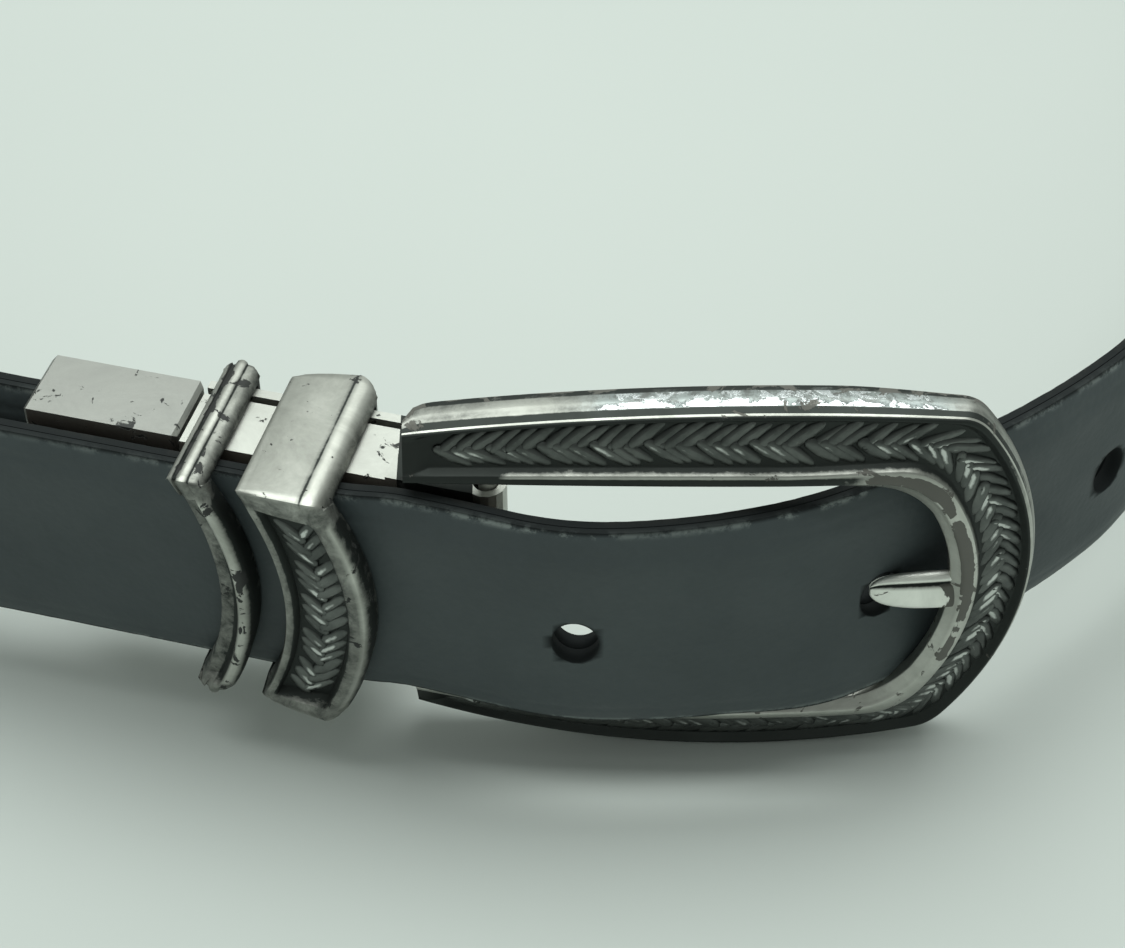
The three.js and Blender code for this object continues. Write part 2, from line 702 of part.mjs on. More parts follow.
function buckleFrame() {
  const body = toManifold(loft(ring.map(frameSection)));
  const channelStart = RIM_SHARE + EASE;
  const channelWidth = 1 - RIDGE_SHARE - EASE - channelStart;
  const pointAt = (along, share, lift) => {
    const across = channelStart + channelWidth * share;
    const floor = THREE.MathUtils.lerp(FACE_SLOPE * RIM_SHARE, FACE_SLOPE * 0.8, share) + CHANNEL_DEPTH;
    return framePoint(ringAt(CHANNEL_END * 1.6 + along), across, floor - lift);
  };
  const strands = braidStrands(pointAt, ringLength - CHANNEL_END * 3.2, BRAID_REACH);
  const reach = OPENING_HEIGHT / 2 + WALL_DEPTH / 2;
  const heel = bar(
    new THREE.Vector3(heelBar.x, heelBar.y, FRAME_MIDDLE_Z - reach),
    new THREE.Vector3(heelBar.x, heelBar.y, FRAME_MIDDLE_Z + reach),
    HEEL_BAR_DIAMETER,
    12,
  );
  return toGeometry(join([body, heel, prong(), ...strands]));
}

// Clamp block, carrier and swivel post, in the clamp's own frame

const STRAP_MIDDLE_Z = CLAMP_LIFT + STRAP_WIDTH / 2;

function clampBlock() {
  const [depth, height] = [BLOCK_DEPTH - 2 * BLOCK_EDGE, BLOCK_HEIGHT - 2 * BLOCK_EDGE];
  const outline = new THREE.Shape();
  outline.moveTo(-depth / 2, -height / 2);
  outline.lineTo(depth / 2, -height / 2);
  outline.lineTo(depth / 2, height / 2);
  outline.lineTo(-depth / 2, height / 2);
  const geometry = new THREE.ExtrudeGeometry(outline, {
    depth: BLOCK_LENGTH - 2 * BLOCK_EDGE,
    bevelThickness: BLOCK_EDGE,
    bevelSize: BLOCK_EDGE,
    bevelSegments: 1,
  });
  geometry.rotateX(Math.PI / 2);
  geometry.rotateZ(Math.PI / 2);
  geometry.translate(BLOCK_LEFT + BLOCK_EDGE, BLOCK_MIDDLE, STRAP_MIDDLE_Z);
  const room = new THREE.Vector3(
    SLOT_LENGTH + CLEARANCE,
    STRAP_THICKNESS / 2 + CLEARANCE,
    STRAP_WIDTH / 2 - END_TRIM + CLEARANCE,
  );
  const slot = block(
    new THREE.Vector3(BLOCK_LEFT - FUSE, BLOCK_MIDDLE - room.y, STRAP_MIDDLE_Z - room.z),
    new THREE.Vector3(BLOCK_LEFT + room.x, BLOCK_MIDDLE + room.y, STRAP_MIDDLE_Z + room.z),
  );
  return toGeometry(cut(toManifold(geometry), [slot, postBar(CLEARANCE)]));
}

const POST_MIDDLE = CARRIER_FRONT + CARRIER_DEPTH / 2;

function postBar(extra) {
  const from = new THREE.Vector3(BLOCK_RIGHT - POST_GRIP - extra, POST_MIDDLE, STRAP_MIDDLE_Z);
  const to = new THREE.Vector3(CARRIER_LEFT + POST_GRIP + extra, POST_MIDDLE, STRAP_MIDDLE_Z);
  return bar(from, to, POST_DIAMETER + 2 * extra);
}

// The heel bar's place in the clamp's frame.
const heelInClamp = (() => {
  const offset = heelBar.clone().sub(clampOrigin);
  return new THREE.Vector2(offset.dot(clampX), offset.dot(clampY));
})();

function carrier() {
  const low = STRAP_MIDDLE_Z - CARRIER_HEIGHT / 2;
  const high = STRAP_MIDDLE_Z + CARRIER_HEIGHT / 2;
  const body = block(
    new THREE.Vector3(CARRIER_LEFT, CARRIER_FRONT, low),
    new THREE.Vector3(CARRIER_REACH, CARRIER_FRONT + CARRIER_DEPTH, high),
  );
  const plateFront = CARRIER_FRONT + CARRIER_DEPTH + BACK_SLOT;
  const plate = block(
    new THREE.Vector3(CARRIER_LEFT, plateFront, low),
    new THREE.Vector3(CARRIER_REACH, plateFront + BACK_PLATE, high),
  );
  const webs = [CARRIER_LEFT, CARRIER_REACH - BACK_PLATE].map((x) => block(
    new THREE.Vector3(x, plateFront - BACK_SLOT - FUSE, low),
    new THREE.Vector3(x + BACK_PLATE, plateFront + FUSE, high - BACK_SLOT_DROP),
  ));
  const neck = block(
    new THREE.Vector3(CARRIER_REACH - FUSE, CARRIER_FRONT, FRAME_MIDDLE_Z - NECK_HEIGHT / 2),
    new THREE.Vector3(heelInClamp.x, CARRIER_FRONT + NECK_DEPTH, FRAME_MIDDLE_Z + NECK_HEIGHT / 2),
  );
  const barrel = bar(
    new THREE.Vector3(heelInClamp.x, heelInClamp.y, FRAME_MIDDLE_Z - NECK_HEIGHT / 2),
    new THREE.Vector3(heelInClamp.x, heelInClamp.y, FRAME_MIDDLE_Z + NECK_HEIGHT / 2),
    2 * BARREL_RADIUS,
  );
  const bore = bar(
    new THREE.Vector3(heelInClamp.x, heelInClamp.y, STRAP_MIDDLE_Z - NECK_HEIGHT),
    new THREE.Vector3(heelInClamp.x, heelInClamp.y, STRAP_MIDDLE_Z + NECK_HEIGHT),
    HEEL_BAR_DIAMETER + 2 * CLEARANCE,
  );
  return toGeometry(cut(join([body, plate, ...webs, neck, barrel]), [bore, postBar(CLEARANCE)]));
}

// Keepers: closed loops round the strap and the carrier, with a bowed front plate

const KEEPER_INSIDE = {
  front: -STRAP_THICKNESS / 2 - KEEPER_PLAY,
  back: CARRIER_FRONT + CARRIER_DEPTH + BACK_SLOT + BACK_PLATE + CLEARANCE,
  low: STRAP_MIDDLE_Z - STRAP_WIDTH / 2 - KEEPER_PLAY,
  high: STRAP_MIDDLE_Z + STRAP_WIDTH / 2 + KEEPER_PLAY,
};
const KEEPER_OUTSIDE = {
  front: KEEPER_INSIDE.front - KEEPER_FRONT_WALL,
  back: KEEPER_INSIDE.back + KEEPER_WALL,
  low: KEEPER_INSIDE.low - KEEPER_WALL,
  high: KEEPER_INSIDE.high + KEEPER_WALL,
};

const KEEPER_SPAN = KEEPER_OUTSIDE.high - KEEPER_OUTSIDE.low;
const PANEL_PLACES = [0.18, 0.3, 0.42, 0.5, 0.58, 0.7, 0.82]; // shares of the height

// Points round a box with rounded corners: up the front, back over the top, and down and round.
function keeperLoop({ front, back, low, high }, radius, frontPlaces) {
  const points = [];
  const corner = (y, z, startDegrees) => {
    for (let i = 0; i <= 3; i += 1) {
      const angle = THREE.MathUtils.degToRad(startDegrees - 30 * i);
      const out = new THREE.Vector2(Math.cos(angle), Math.sin(angle));
      points.push({ y: y + radius * out.x, z: z + radius * out.y, out });
    }
  };
  frontPlaces.forEach((share) => {
    const z = THREE.MathUtils.lerp(low + radius, high - radius, share);
    points.push({ y: front, z, out: new THREE.Vector2(-1, 0) });
  });
  corner(front + radius, high - radius, 180);
  corner(back - radius, high - radius, 90);
  corner(back - radius, low + radius, 0);
  corner(front + radius, low + radius, -90);
  return points;
}

function keeperBody(width, profile) {
  const [first, last] = [PANEL_BOTTOM / KEEPER_SPAN, 1 - PANEL_TOP / KEEPER_SPAN];
  const places = [first, first + 0.02, ...PANEL_PLACES, last - 0.02, last];
  const outer = keeperLoop(KEEPER_OUTSIDE, KEEPER_CORNER, places);
  const inner = keeperLoop(KEEPER_INSIDE, CLEARANCE, places);
  const outlines = outer.map((station, i) => {
    const share = (station.z - KEEPER_OUTSIDE.low) / KEEPER_SPAN;
    const onFront = station.y < KEEPER_INSIDE.front;
    const shift = onFront ? keeperShift(share) : 0;
    const isPanel = i > 0 && i < places.length - 1;
    const outside = profile.map(({ across, bars, front }) => {
      const rise = isPanel ? front : bars;
      const y = station.y + rise * station.out.x;
      return new THREE.Vector3(shift + across * width, y, station.z + rise * station.out.y);
    });
    const inside = [1, 0].map((across) => new THREE.Vector3(shift + across * width, inner[i].y, inner[i].z));
    return [...outside, ...inside];
  });
  return toManifold(loft(outlines, true));
}

// Sideways shift of the front plate at a share of the keeper's height.
function keeperShift(share) {
  return KEEPER_BOW * (1 - (2 * share - 1) ** 2);
}

function plainKeeper() {
  return toGeometry(keeperBody(PLAIN_KEEPER_WIDTH, PLAIN_PROFILE));
}

function braidedKeeper() {
  const body = keeperBody(BRAIDED_KEEPER_WIDTH, BRAIDED_PROFILE);
  const floor = KEEPER_OUTSIDE.front - between(BRAIDED_PROFILE, 'across', PANEL_LEFT).a.front;
  const pointAt = (along, share, lift) => {
    const height = PANEL_BOTTOM + along;
    const across = THREE.MathUtils.lerp(PANEL_LEFT, PANEL_RIGHT, share) * BRAIDED_KEEPER_WIDTH;
    return new THREE.Vector3(
      keeperShift(height / KEEPER_SPAN) + across,
      floor - lift,
      KEEPER_OUTSIDE.low + height,
    );
  };
  const strands = braidStrands(pointAt, KEEPER_SPAN - PANEL_BOTTOM - PANEL_TOP, BRAID_REACH);
  return toGeometry(join([body, ...strands]));
}

// The belt

function piece(name, geometry, material) {
  const mesh = new THREE.Mesh(geometry, material);
  mesh.name = name;
  return mesh;
}

const belt = new THREE.Group();
belt.add(piece('strap_black_ply', strapPly(1), leatherBlack));
belt.add(piece('strap_brown_ply', strapPly(-1), leatherBrown));
belt.add(piece('buckle_frame', buckleFrame(), silver));

const clamp = new THREE.Group();
clamp.position.set(clampOrigin.x, clampOrigin.y, 0);
clamp.rotation.z = THREE.MathUtils.degToRad(-CLAMP_YAW);
clamp.add(piece('clamp_block', clampBlock(), satinSilver));
clamp.add(piece('swivel_post', toGeometry(postBar(0)), darkSteel));
clamp.add(piece('keeper_carrier', carrier(), satinSilver));

const keeperPlain = piece('keeper_plain', plainKeeper(), silver);
clamp.add(keeperPlain);
const keeperBraided = piece('keeper_braided', braidedKeeper(), silver);
keeperBraided.position.x = PLAIN_KEEPER_WIDTH + KEEPER_GAP;
clamp.add(keeperBraided);
belt.add(clamp);

// The origin is the middle of the belt's box, on the table.
belt.updateMatrixWorld(true);
const box = new THREE.Box3().setFromObject(belt, true);
const middle = box.getCenter(new THREE.Vector3());
belt.position.set(-middle.x, -middle.y, -box.min.z);

export default belt;
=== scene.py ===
# %% [markdown]
# # A reversible leather belt
#
# A reversible belt is two plies of leather glued back to back, held by a swivel buckle. This one is
# fastened and stands on its edge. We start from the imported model, which fixes every size, and build
# each visible surface again with more detail. Lengths are in millimetres until a mesh is made.

import math

import bmesh
import bpy
import numpy as np
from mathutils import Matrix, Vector, noise


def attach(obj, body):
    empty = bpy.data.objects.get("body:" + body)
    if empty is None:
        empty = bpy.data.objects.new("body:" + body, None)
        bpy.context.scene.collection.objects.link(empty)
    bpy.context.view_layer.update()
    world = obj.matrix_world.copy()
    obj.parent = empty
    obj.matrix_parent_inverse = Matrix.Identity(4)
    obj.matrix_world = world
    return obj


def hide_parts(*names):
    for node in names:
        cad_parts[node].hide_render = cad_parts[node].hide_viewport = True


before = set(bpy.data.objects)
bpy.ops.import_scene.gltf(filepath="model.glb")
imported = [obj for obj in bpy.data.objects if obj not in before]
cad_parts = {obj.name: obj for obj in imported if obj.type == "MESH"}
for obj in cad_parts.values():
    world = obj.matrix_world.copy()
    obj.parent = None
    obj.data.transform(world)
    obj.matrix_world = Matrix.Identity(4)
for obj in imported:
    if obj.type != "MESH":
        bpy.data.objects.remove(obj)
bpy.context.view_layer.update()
MM = 0.001
print("Nodes in the frame:", sorted(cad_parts))


def placed(name, data):
    """A new object in the scene that holds this mesh, camera or lamp."""
    obj = bpy.data.objects.new(name, data)
    bpy.context.scene.collection.objects.link(obj)
    return obj


# %% [markdown]
# ## The camera
#
# A photo of a long thing shows strong perspective, so a camera placed by eye never lines up. This one
# was solved from the strap's edges and from the depth edges of the clamp block. It looks straight
# along Y, 45 degrees down, from close by.

# %% Camera
FOCAL_PIXELS = 2400
IMAGE_WIDTH = 1125
CAMERA_TARGET = Vector((10.25, -113.88, 22.3)) * MM
CAMERA_DISTANCE = 230.8 * MM
CAMERA_ELEVATION = math.radians(45)


def make_camera():
    """A camera at the photo's angle, aimed at the middle of its picture."""
    data = bpy.data.cameras.new("camera")
    data.sensor_width = 36
    data.lens = data.sensor_width * FOCAL_PIXELS / IMAGE_WIDTH
    data.clip_start = 0.005
    camera = placed("camera", data)
    back = Vector((0, -math.cos(CAMERA_ELEVATION), math.sin(CAMERA_ELEVATION)))
    camera.location = CAMERA_TARGET + back * CAMERA_DISTANCE
    camera.rotation_euler = (math.pi / 2 - CAMERA_ELEVATION, 0, 0)
    bpy.context.scene.camera = camera
    return camera


camera = make_camera()
print("Lens:", round(camera.data.lens, 1), "mm")

# %% [markdown]
# ## Small helpers for meshes
#
# Nearly every piece here is a section that travels along a path, so one function that skins a row of
# sections does most of the work. Each one gets point values for its material to read, such as how
# deep a point lies in a recess.


# %% Mesh helpers
SHARP_ANGLE = math.radians(42)  # edges that turn by more than this stay sharp


def to_object(name, verts, faces, values=None, uv=None):
    """A smooth mesh object from points in millimetres, with one number per point for each value."""
    mesh = bpy.data.meshes.new(name)
    mesh.from_pydata((np.asarray(verts) * MM).tolist(), [], faces)
    for key, numbers in (values or {}).items():
        attribute = mesh.attributes.new(key, "FLOAT", "POINT")
        attribute.data.foreach_set("value", np.asarray(numbers, dtype=np.float32))
    if uv is not None:
        layer = mesh.uv_layers.new(name="surface")
        corners = np.empty(len(mesh.loops), dtype=np.int32)
        mesh.loops.foreach_get("vertex_index", corners)
        layer.data.foreach_set("uv", np.asarray(uv, dtype=np.float32)[corners].ravel())
    bm = bmesh.new()
    bm.from_mesh(mesh)
    bmesh.ops.recalc_face_normals(bm, faces=bm.faces)
    for face in bm.faces:
        face.smooth = True
    bm.to_mesh(mesh)
    bm.free()
    mesh.set_sharp_from_angle(angle=SHARP_ANGLE)
    return placed(name, mesh)


def skin(sections, closed=False):
    """Quads between neighbouring sections of one size, with flat ends unless the row is closed."""
    rows, count = sections.shape[:2]
    spans = rows if closed else rows - 1
    r, c = np.meshgrid(np.arange(spans), np.arange(count), indexing="ij")
    s, n = (r + 1) % rows, (c + 1) % count
    quads = np.stack([r * count + c, r * count + n, s * count + n, s * count + c], axis=-1)
    faces = quads.reshape(-1, 4).tolist()
    if not closed:
        faces.append(list(range(count)))
        faces.append(list(range((rows - 1) * count, rows * count)))
    return sections.reshape(-1, 3), faces


def smoothstep(x, low, high):
    """0 up to low, 1 from high on, and a smooth rise between them."""
    t = np.clip((np.asarray(x, dtype=float) - low) / (high - low), 0, 1)
    return t * t * (3 - 2 * t)


def eased(x, low, high):
    """The same rise, for one number."""
    return float(smoothstep(x, low, high))


def bell(x, middle, width):
    """1 at the middle, with a smooth fall to both sides."""
    return np.exp(-(((x - middle) / width) ** 2))


def distances(line):
    """How far along a line of points each of them lies."""
    return np.concatenate([[0], np.cumsum(np.linalg.norm(np.diff(line, axis=0), axis=1))])


def evaluated_copy(obj, name):
    """The object as its modifiers leave it, as a plain mesh object in its place."""
    depsgraph = bpy.context.evaluated_depsgraph_get()
    mesh = bpy.data.meshes.new_from_object(obj.evaluated_get(depsgraph), depsgraph=depsgraph)
    mesh.name = name
    bpy.data.objects.remove(obj)
    return placed(name, mesh)


def finish_piece(obj, material=None):
    """Puts a piece on the belt's one body, and gives it a finish."""
    if material:
        obj.data.materials.clear()
        obj.data.materials.append(material)
    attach(obj, "root")
    return obj


# %% [markdown]
# ## The strap's route
#
# Seen from above, a belt is a line of gentle bends: it is nearly straight through the clamp and its
# keepers, runs over the heel bar, bends behind the round end of the frame, and goes round the waist.
# We walk along that line in short steps, each stretch turning steadily to its own heading, and close
# the loop at the back with two smooth curves whose depth is solved from the belt's length.

# %% Sizes shared with the solids
CLEARANCE = 0.3
STRAP_WIDTH = 25.4
STRAP_THICKNESS = 3.4
EDGE_THICKNESS = 1.4
FEATHER_WIDTH = 4.5
STRAP_LEAN = 0.4
STRAP_LIFT = 9.5
CLAMP_LIFT = 8.8
CLAMP_REACH = 6
CLOSED_LENGTH = 800
TIP_ROUNDING = 15
HOLE_COUNT = 5
HOLE_PITCH = 28.2
HOLE_WIDTH = 4.3
HOLE_HEIGHT = 5.3
HOLE_TO_TIP = 80
HOLE_DROP = 0.8
FRAME_LENGTH = 57.1
FRAME_HEIGHT = 45.0
FRAME_BOW_RADIUS = 200
OPENING_LENGTH = 49.7
OPENING_HEIGHT = 29.8
HEEL_BAR_SETBACK = 7.4
HEEL_BAR_DEPTH = 2.9
HEEL_BAR_DIAMETER = 1.8
PRONG_LENGTH = 6.9
CLAMP_YAW = 14.6
CLAMP_TO_HEEL_BAR = 27.4
BARREL_RADIUS = HEEL_BAR_DIAMETER / 2 + CLEARANCE + 0.7
OVER_HEEL_BAR = -17
SIDE_HANDLE, BACK_HANDLE = 0.68, 0.5  # of the loop's two back curves, as shares of its depth

# Stretches of steady bend: length as a share of the frame's length, and the heading at their end.
TOWARDS_RIGHT = [
    (0.06, OVER_HEEL_BAR), (0.15, 0), (0.22, 12), (0.16, 26), (0.3, 33), (0.26, 43), (0.1, 52), (0.1, 53),
]
TOWARDS_TIP = [(0.17, -CLAMP_YAW), (0.72, -CLAMP_YAW), (0.5, -22)]
FROM_CLAMP = [(0.05, -CLAMP_YAW), (0.24, -34)]

# The clamp, in its own frame: X along the strap, Y back from the middle of the strap before it.
CARRIER_FRONT = STRAP_THICKNESS / 2 + CLEARANCE
CARRIER_COLLAR = 0.8
BLOCK_RIGHT = -CARRIER_COLLAR - CLEARANCE
BLOCK_LENGTH = 15.0
BLOCK_DEPTH = 7.5
SLOT_LENGTH = 9.6
END_TRIM = 0.6


# %% Walking the route
def heading_vector(degrees):
    return np.array([math.cos(math.radians(degrees)), math.sin(math.radians(degrees))])


def frame_bow(x):
    return (x - FRAME_LENGTH / 2) ** 2 / (2 * FRAME_BOW_RADIUS)


def walk(start, heading, rows, direction):
    """Points along stretches of steady bend, forwards (1) or backwards (-1), and the last heading."""
    points = [start]
    for share, end_heading in rows:
        length = share * FRAME_LENGTH
        steps = math.ceil(length)
        turn = (end_heading - heading) / steps
        for _ in range(steps):
            points.append(points[-1] + direction * length / steps * heading_vector(heading + turn / 2))
            heading += turn
    return points, heading


def bezier(a, b, c, d, count=200):
    t = np.linspace(0, 1, count)[:, None]
    return (1 - t) ** 3 * a + 3 * (1 - t) ** 2 * t * b + 3 * (1 - t) * t**2 * c + t**3 * d


heel_bar = np.array([HEEL_BAR_SETBACK, frame_bow(HEEL_BAR_SETBACK) + HEEL_BAR_DEPTH])
over_bar = heel_bar + (BARREL_RADIUS + CLEARANCE + STRAP_THICKNESS / 2) * heading_vector(OVER_HEEL_BAR - 90)
right_side, right_heading = walk(over_bar, OVER_HEEL_BAR, TOWARDS_RIGHT, 1)
tip_side, tip_heading = walk(over_bar, OVER_HEEL_BAR, TOWARDS_TIP, -1)
down = walk(over_bar, OVER_HEEL_BAR, TOWARDS_TIP[:1], -1)[0][-1]
clamp_origin = down + (TOWARDS_TIP[0][0] * FRAME_LENGTH - CLAMP_TO_HEEL_BAR) * heading_vector(-CLAMP_YAW)


def clamp_point(x, y):
    return clamp_origin + x * heading_vector(-CLAMP_YAW) + y * heading_vector(90 - CLAMP_YAW)


BLOCK_LEFT = BLOCK_RIGHT - BLOCK_LENGTH
BLOCK_MIDDLE = CARRIER_FRONT + BLOCK_DEPTH / 2
mouth = clamp_point(BLOCK_LEFT, BLOCK_MIDDLE)
body_end = clamp_point(BLOCK_LEFT + SLOT_LENGTH, BLOCK_MIDDLE)
body_side, body_heading = walk(mouth, -CLAMP_YAW, FROM_CLAMP, -1)


def route_for(depth):
    """The route from the heel bar to the fixed end, for a loop of a given depth."""
    start, end = right_side[-1], body_side[-1]
    back = np.array([(start[0] + end[0]) / 2, start[1] + depth])
    side, handle = SIDE_HANDLE * depth, np.array([BACK_HANDLE * depth, 0])
    right = bezier(start, start + side * heading_vector(right_heading), back + handle, back)
    left = bezier(back, back - handle, end - side * heading_vector(body_heading), end)
    return np.vstack([right_side, right[1:], left[1:-1], body_side[::-1], body_end[None]])


def solve_depth():
    """The loop's depth that gives the closed length, by halving the range it lies in."""
    known = np.linalg.norm(mouth - over_bar) - SLOT_LENGTH
    low, high = CLOSED_LENGTH / 20, CLOSED_LENGTH
    for _ in range(40):
        middle = (low + high) / 2
        if distances(route_for(middle))[-1] + known < CLOSED_LENGTH:
            low = middle
        else:
            high = middle
    return low


def build_route():
    """Every point of the route from the free end on, with its distance along the strap."""
    forward = route_for(solve_depth())
    hole_x = OPENING_LENGTH - PRONG_LENGTH - HOLE_WIDTH / 4
    fastened = distances(forward)[np.argmax(forward[:, 0] >= hole_x)]
    spare = HOLE_TO_TIP + HOLE_PITCH - fastened
    kept, along = [], 0
    last = over_bar
    for p in tip_side[1:]:
        step = np.linalg.norm(p - last)
        if along + step >= spare:
            break
        along += step
        kept.append(p)
        last = p
    kept.append(last - (spare - along) * heading_vector(tip_heading))
    points = np.vstack([np.array(kept[::-1]), forward])
    return points, distances(points)


route, route_along = build_route()
route_length = route_along[-1]
loop_back = route[:, 1].max()
print("Strap:", round(route_length, 1), "mm from end to end")


# %% [markdown]
# ## Where the route lies in the frame
#
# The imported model's origin is the middle of its box. The strap's outer face makes that box, so its
# own extremes give the shift from our drawing to the model.

# %% Strap frames
def strap_frame(along):
    """Places on the strap's middle line and their outward directions, for distances from the tip."""

    def place(at):
        return np.stack([np.interp(at, route_along, route[:, i]) for i in (0, 1)], axis=-1)

    along = np.atleast_1d(np.asarray(along, dtype=float))
    tangent = place(np.clip(along + 1, None, route_length)) - place(np.clip(along - 1, 0, None))
    tangent /= np.linalg.norm(tangent, axis=1, keepdims=True)
    return place(along), np.stack([tangent[:, 1], -tangent[:, 0]], axis=-1)


def lower_edge(x, y):
    """Height of the strap's lower edge: level at the buckle, down to the table at the back."""
    to_clamp = smoothstep(-x, 0, CLAMP_REACH)
    lift = STRAP_LIFT + (CLAMP_LIFT - STRAP_LIFT) * to_clamp
    return lift * (1 - smoothstep(y, FRAME_LENGTH / 3, loop_back - STRAP_WIDTH))


middle_line, outwards = strap_frame(np.arange(0, route_length, 1.0))
outer_face = middle_line + outwards * STRAP_THICKNESS / 2
OFFSET = np.array([*(-(outer_face.min(axis=0) + outer_face.max(axis=0)) / 2), 0])
print("Shift to the model:", OFFSET.round(2))

# %% [markdown]
# ## The strap
#
# Each ply is one long closed skin. Its section is flat in the middle, thins towards feathered edges
# and carries the faint line that the creasing iron leaves along each edge. Slow noise lets the
# surface breathe, and quick noise roughens the edges, because real leather is never ruled. The rows
# are close together where the buckle end is seen from near, and wide apart round the back.

# %% Strap sections
EDGE_CREASE = {"from_edge": 2.4, "depth": 0.06, "width": 0.35}
EDGE_WEAR = {"from_edge": 0.35, "width": 0.25}
DYED_EDGE = (0.05, 0.5)  # the edge dye fades out between these distances from the edge
BREATHE = {"length": 13, "width": 1.6, "depth": 0.07}
ROUGH_EDGE = {"length": 1.7, "depth": 0.1}
NICK = {"x": 40.5, "width": 0.9, "depth": 0.55}
FLARE = {"reach": 1.6, "starts": (28, 40), "ends": (50, 58)}  # of the lower edge, behind the round end
FRONT = 60  # the buckle's side of the loop ends at this Y
FACE_POINTS, INNER_POINTS = 72, 12
NEAR_STEP, FAR_STEP = 0.9, 3.2
SEAM = 0.08
SHOULDER = route_length - SLOT_LENGTH - CLEARANCE  # from here on the strap is trimmed to fit its slot


def section_places():
    """Distances along the strap for its rows: dense at the tip and near the buckle."""
    tip = TIP_ROUNDING * (1 - np.cos(np.linspace(0.05, math.pi / 2, 18)))
    places = list(tip)
    while places[-1] < route_length:
        at = strap_frame(places[-1])[0][0]
        near = at[1] < 75 and abs(at[0] - 20) < 110
        places.append(min(places[-1] + (NEAR_STEP if near else FAR_STEP), route_length))
    places = [p for p in places if abs(p - SHOULDER) > 0.6]
    return np.array(sorted([*places, SHOULDER, SHOULDER + 0.02]))


def strap_ply(name, side):
    """One ply: side 1 is the outer one, -1 the inner one."""
    places = section_places()
    centre, out = strap_frame(places)
    half = np.where(places > SHOULDER + 0.01, STRAP_WIDTH / 2 - END_TRIM, STRAP_WIDTH / 2)
    half = half * np.sqrt(1 - (1 - np.clip(places / TIP_ROUNDING, 0, 1)) ** 2)
    lean = STRAP_LEAN * smoothstep(centre[:, 0], 2 * HEEL_BAR_SETBACK, OPENING_LENGTH * 0.7)
    middle = lower_edge(centre[:, 0], centre[:, 1]) + STRAP_WIDTH / 2
    in_front = centre[:, 1] < FRONT
    flare = FLARE["reach"] * smoothstep(centre[:, 0], *FLARE["starts"]) * in_front
    flare = flare * (1 - smoothstep(centre[:, 0], *FLARE["ends"]))
    nick = NICK["depth"] * bell(centre[:, 0], NICK["x"], NICK["width"]) * in_front
    share = np.sin(np.linspace(-math.pi / 2, math.pi / 2, FACE_POINTS))
    inner_share = np.linspace(1, -1, INNER_POINTS)
    both_shares = np.concatenate([share, inner_share])
    inside_marks = np.zeros(INNER_POINTS)
    sections, wear, edges, uv = [], [], [], []
    for i, along in enumerate(places):
        from_edge = half[i] * (1 - np.abs(share))
        feather = np.clip(1 - from_edge / FEATHER_WIDTH, 0, 1) ** 1.8
        crease = EDGE_CREASE["depth"] * bell(from_edge, EDGE_CREASE["from_edge"], EDGE_CREASE["width"])
        slow = [noise.noise(Vector((along / BREATHE["length"], s * BREATHE["width"], side * 5))) for s in share]
        face = STRAP_THICKNESS / 2 - (STRAP_THICKNESS - EDGE_THICKNESS) / 2 * feather
        face = face - crease - np.abs(slow) * BREATHE["depth"] * (1 - feather)
        quick = [noise.noise(Vector((along / ROUGH_EDGE["length"], s * 3, side * 3))) for s in (-1, 1)]
        low_rough, high_rough = np.abs(quick) * ROUGH_EDGE["depth"]
        v_face = half[i] * share
        v_face[share > 0.985] -= high_rough + nick[i]
        v_face[share < -0.985] += low_rough
        v = np.concatenate([v_face, half[i] * inner_share * 0.99])
        w = np.concatenate([face, np.full(INNER_POINTS, SEAM / 2)]) * side
        w = w - lean[i] * v / (STRAP_WIDTH / 2) + flare[i] * np.clip(-both_shares, 0, 1) ** 2
        xy = centre[i] + out[i] * w[:, None]
        sections.append(np.column_stack([xy, middle[i] + v]))
        wear.append(np.concatenate([bell(from_edge, EDGE_WEAR["from_edge"], EDGE_WEAR["width"]), inside_marks]))
        edges.append(np.concatenate([1 - smoothstep(from_edge, *DYED_EDGE), inside_marks + 1]))
        uv.append(np.column_stack([np.full(len(v), along), v]))
    sections = np.array(sections) + OFFSET
    verts, faces = skin(sections)
    values = {"edge_wear": np.concatenate(wear), "edge": np.concatenate(edges)}
    return to_object(name, verts, faces, values, np.concatenate(uv) * 0.01)


# %% [markdown]
# ## The holes
#
# Five oval holes are punched through both plies. One tool with five oval punches cuts each ply with
# a Boolean, which keeps the walls as thick as the leather.
# The walls and lips of the holes then get the dark edge colour as painted shade.

# %% Punching the holes
HOLE_PLACES = [HOLE_TO_TIP + i * HOLE_PITCH for i in range(HOLE_COUNT)]


def hole_frames():
    """Centre, outward and sideways directions of every hole, in the model's millimetres."""
    centre, out = strap_frame(HOLE_PLACES)
    for at, outward in zip(centre, out):
        z = lower_edge(at[0], at[1]) + STRAP_WIDTH / 2 - HOLE_DROP
        yield np.array([*at, z]) + OFFSET, np.array([*outward, 0]), np.array([-outward[1], outward[0], 0])


def punches():
    """Five oval bars that stand through both plies, as one tool."""
    verts, faces = [], []
    turn = np.linspace(0, 2 * math.pi, 40, endpoint=False)
    for at, outward, sideways in hole_frames():
        oval = at + np.outer(np.cos(turn) * HOLE_WIDTH / 2, sideways)
        oval = oval + np.outer(np.sin(turn) * HOLE_HEIGHT / 2, (0, 0, 1))
        sections = np.array([oval + outward * d for d in (-STRAP_THICKNESS, STRAP_THICKNESS)])
        v, f = skin(sections)
        faces += [[i + len(verts) for i in face] for face in f]
        verts += v.tolist()
    return to_object("punches", verts, faces)


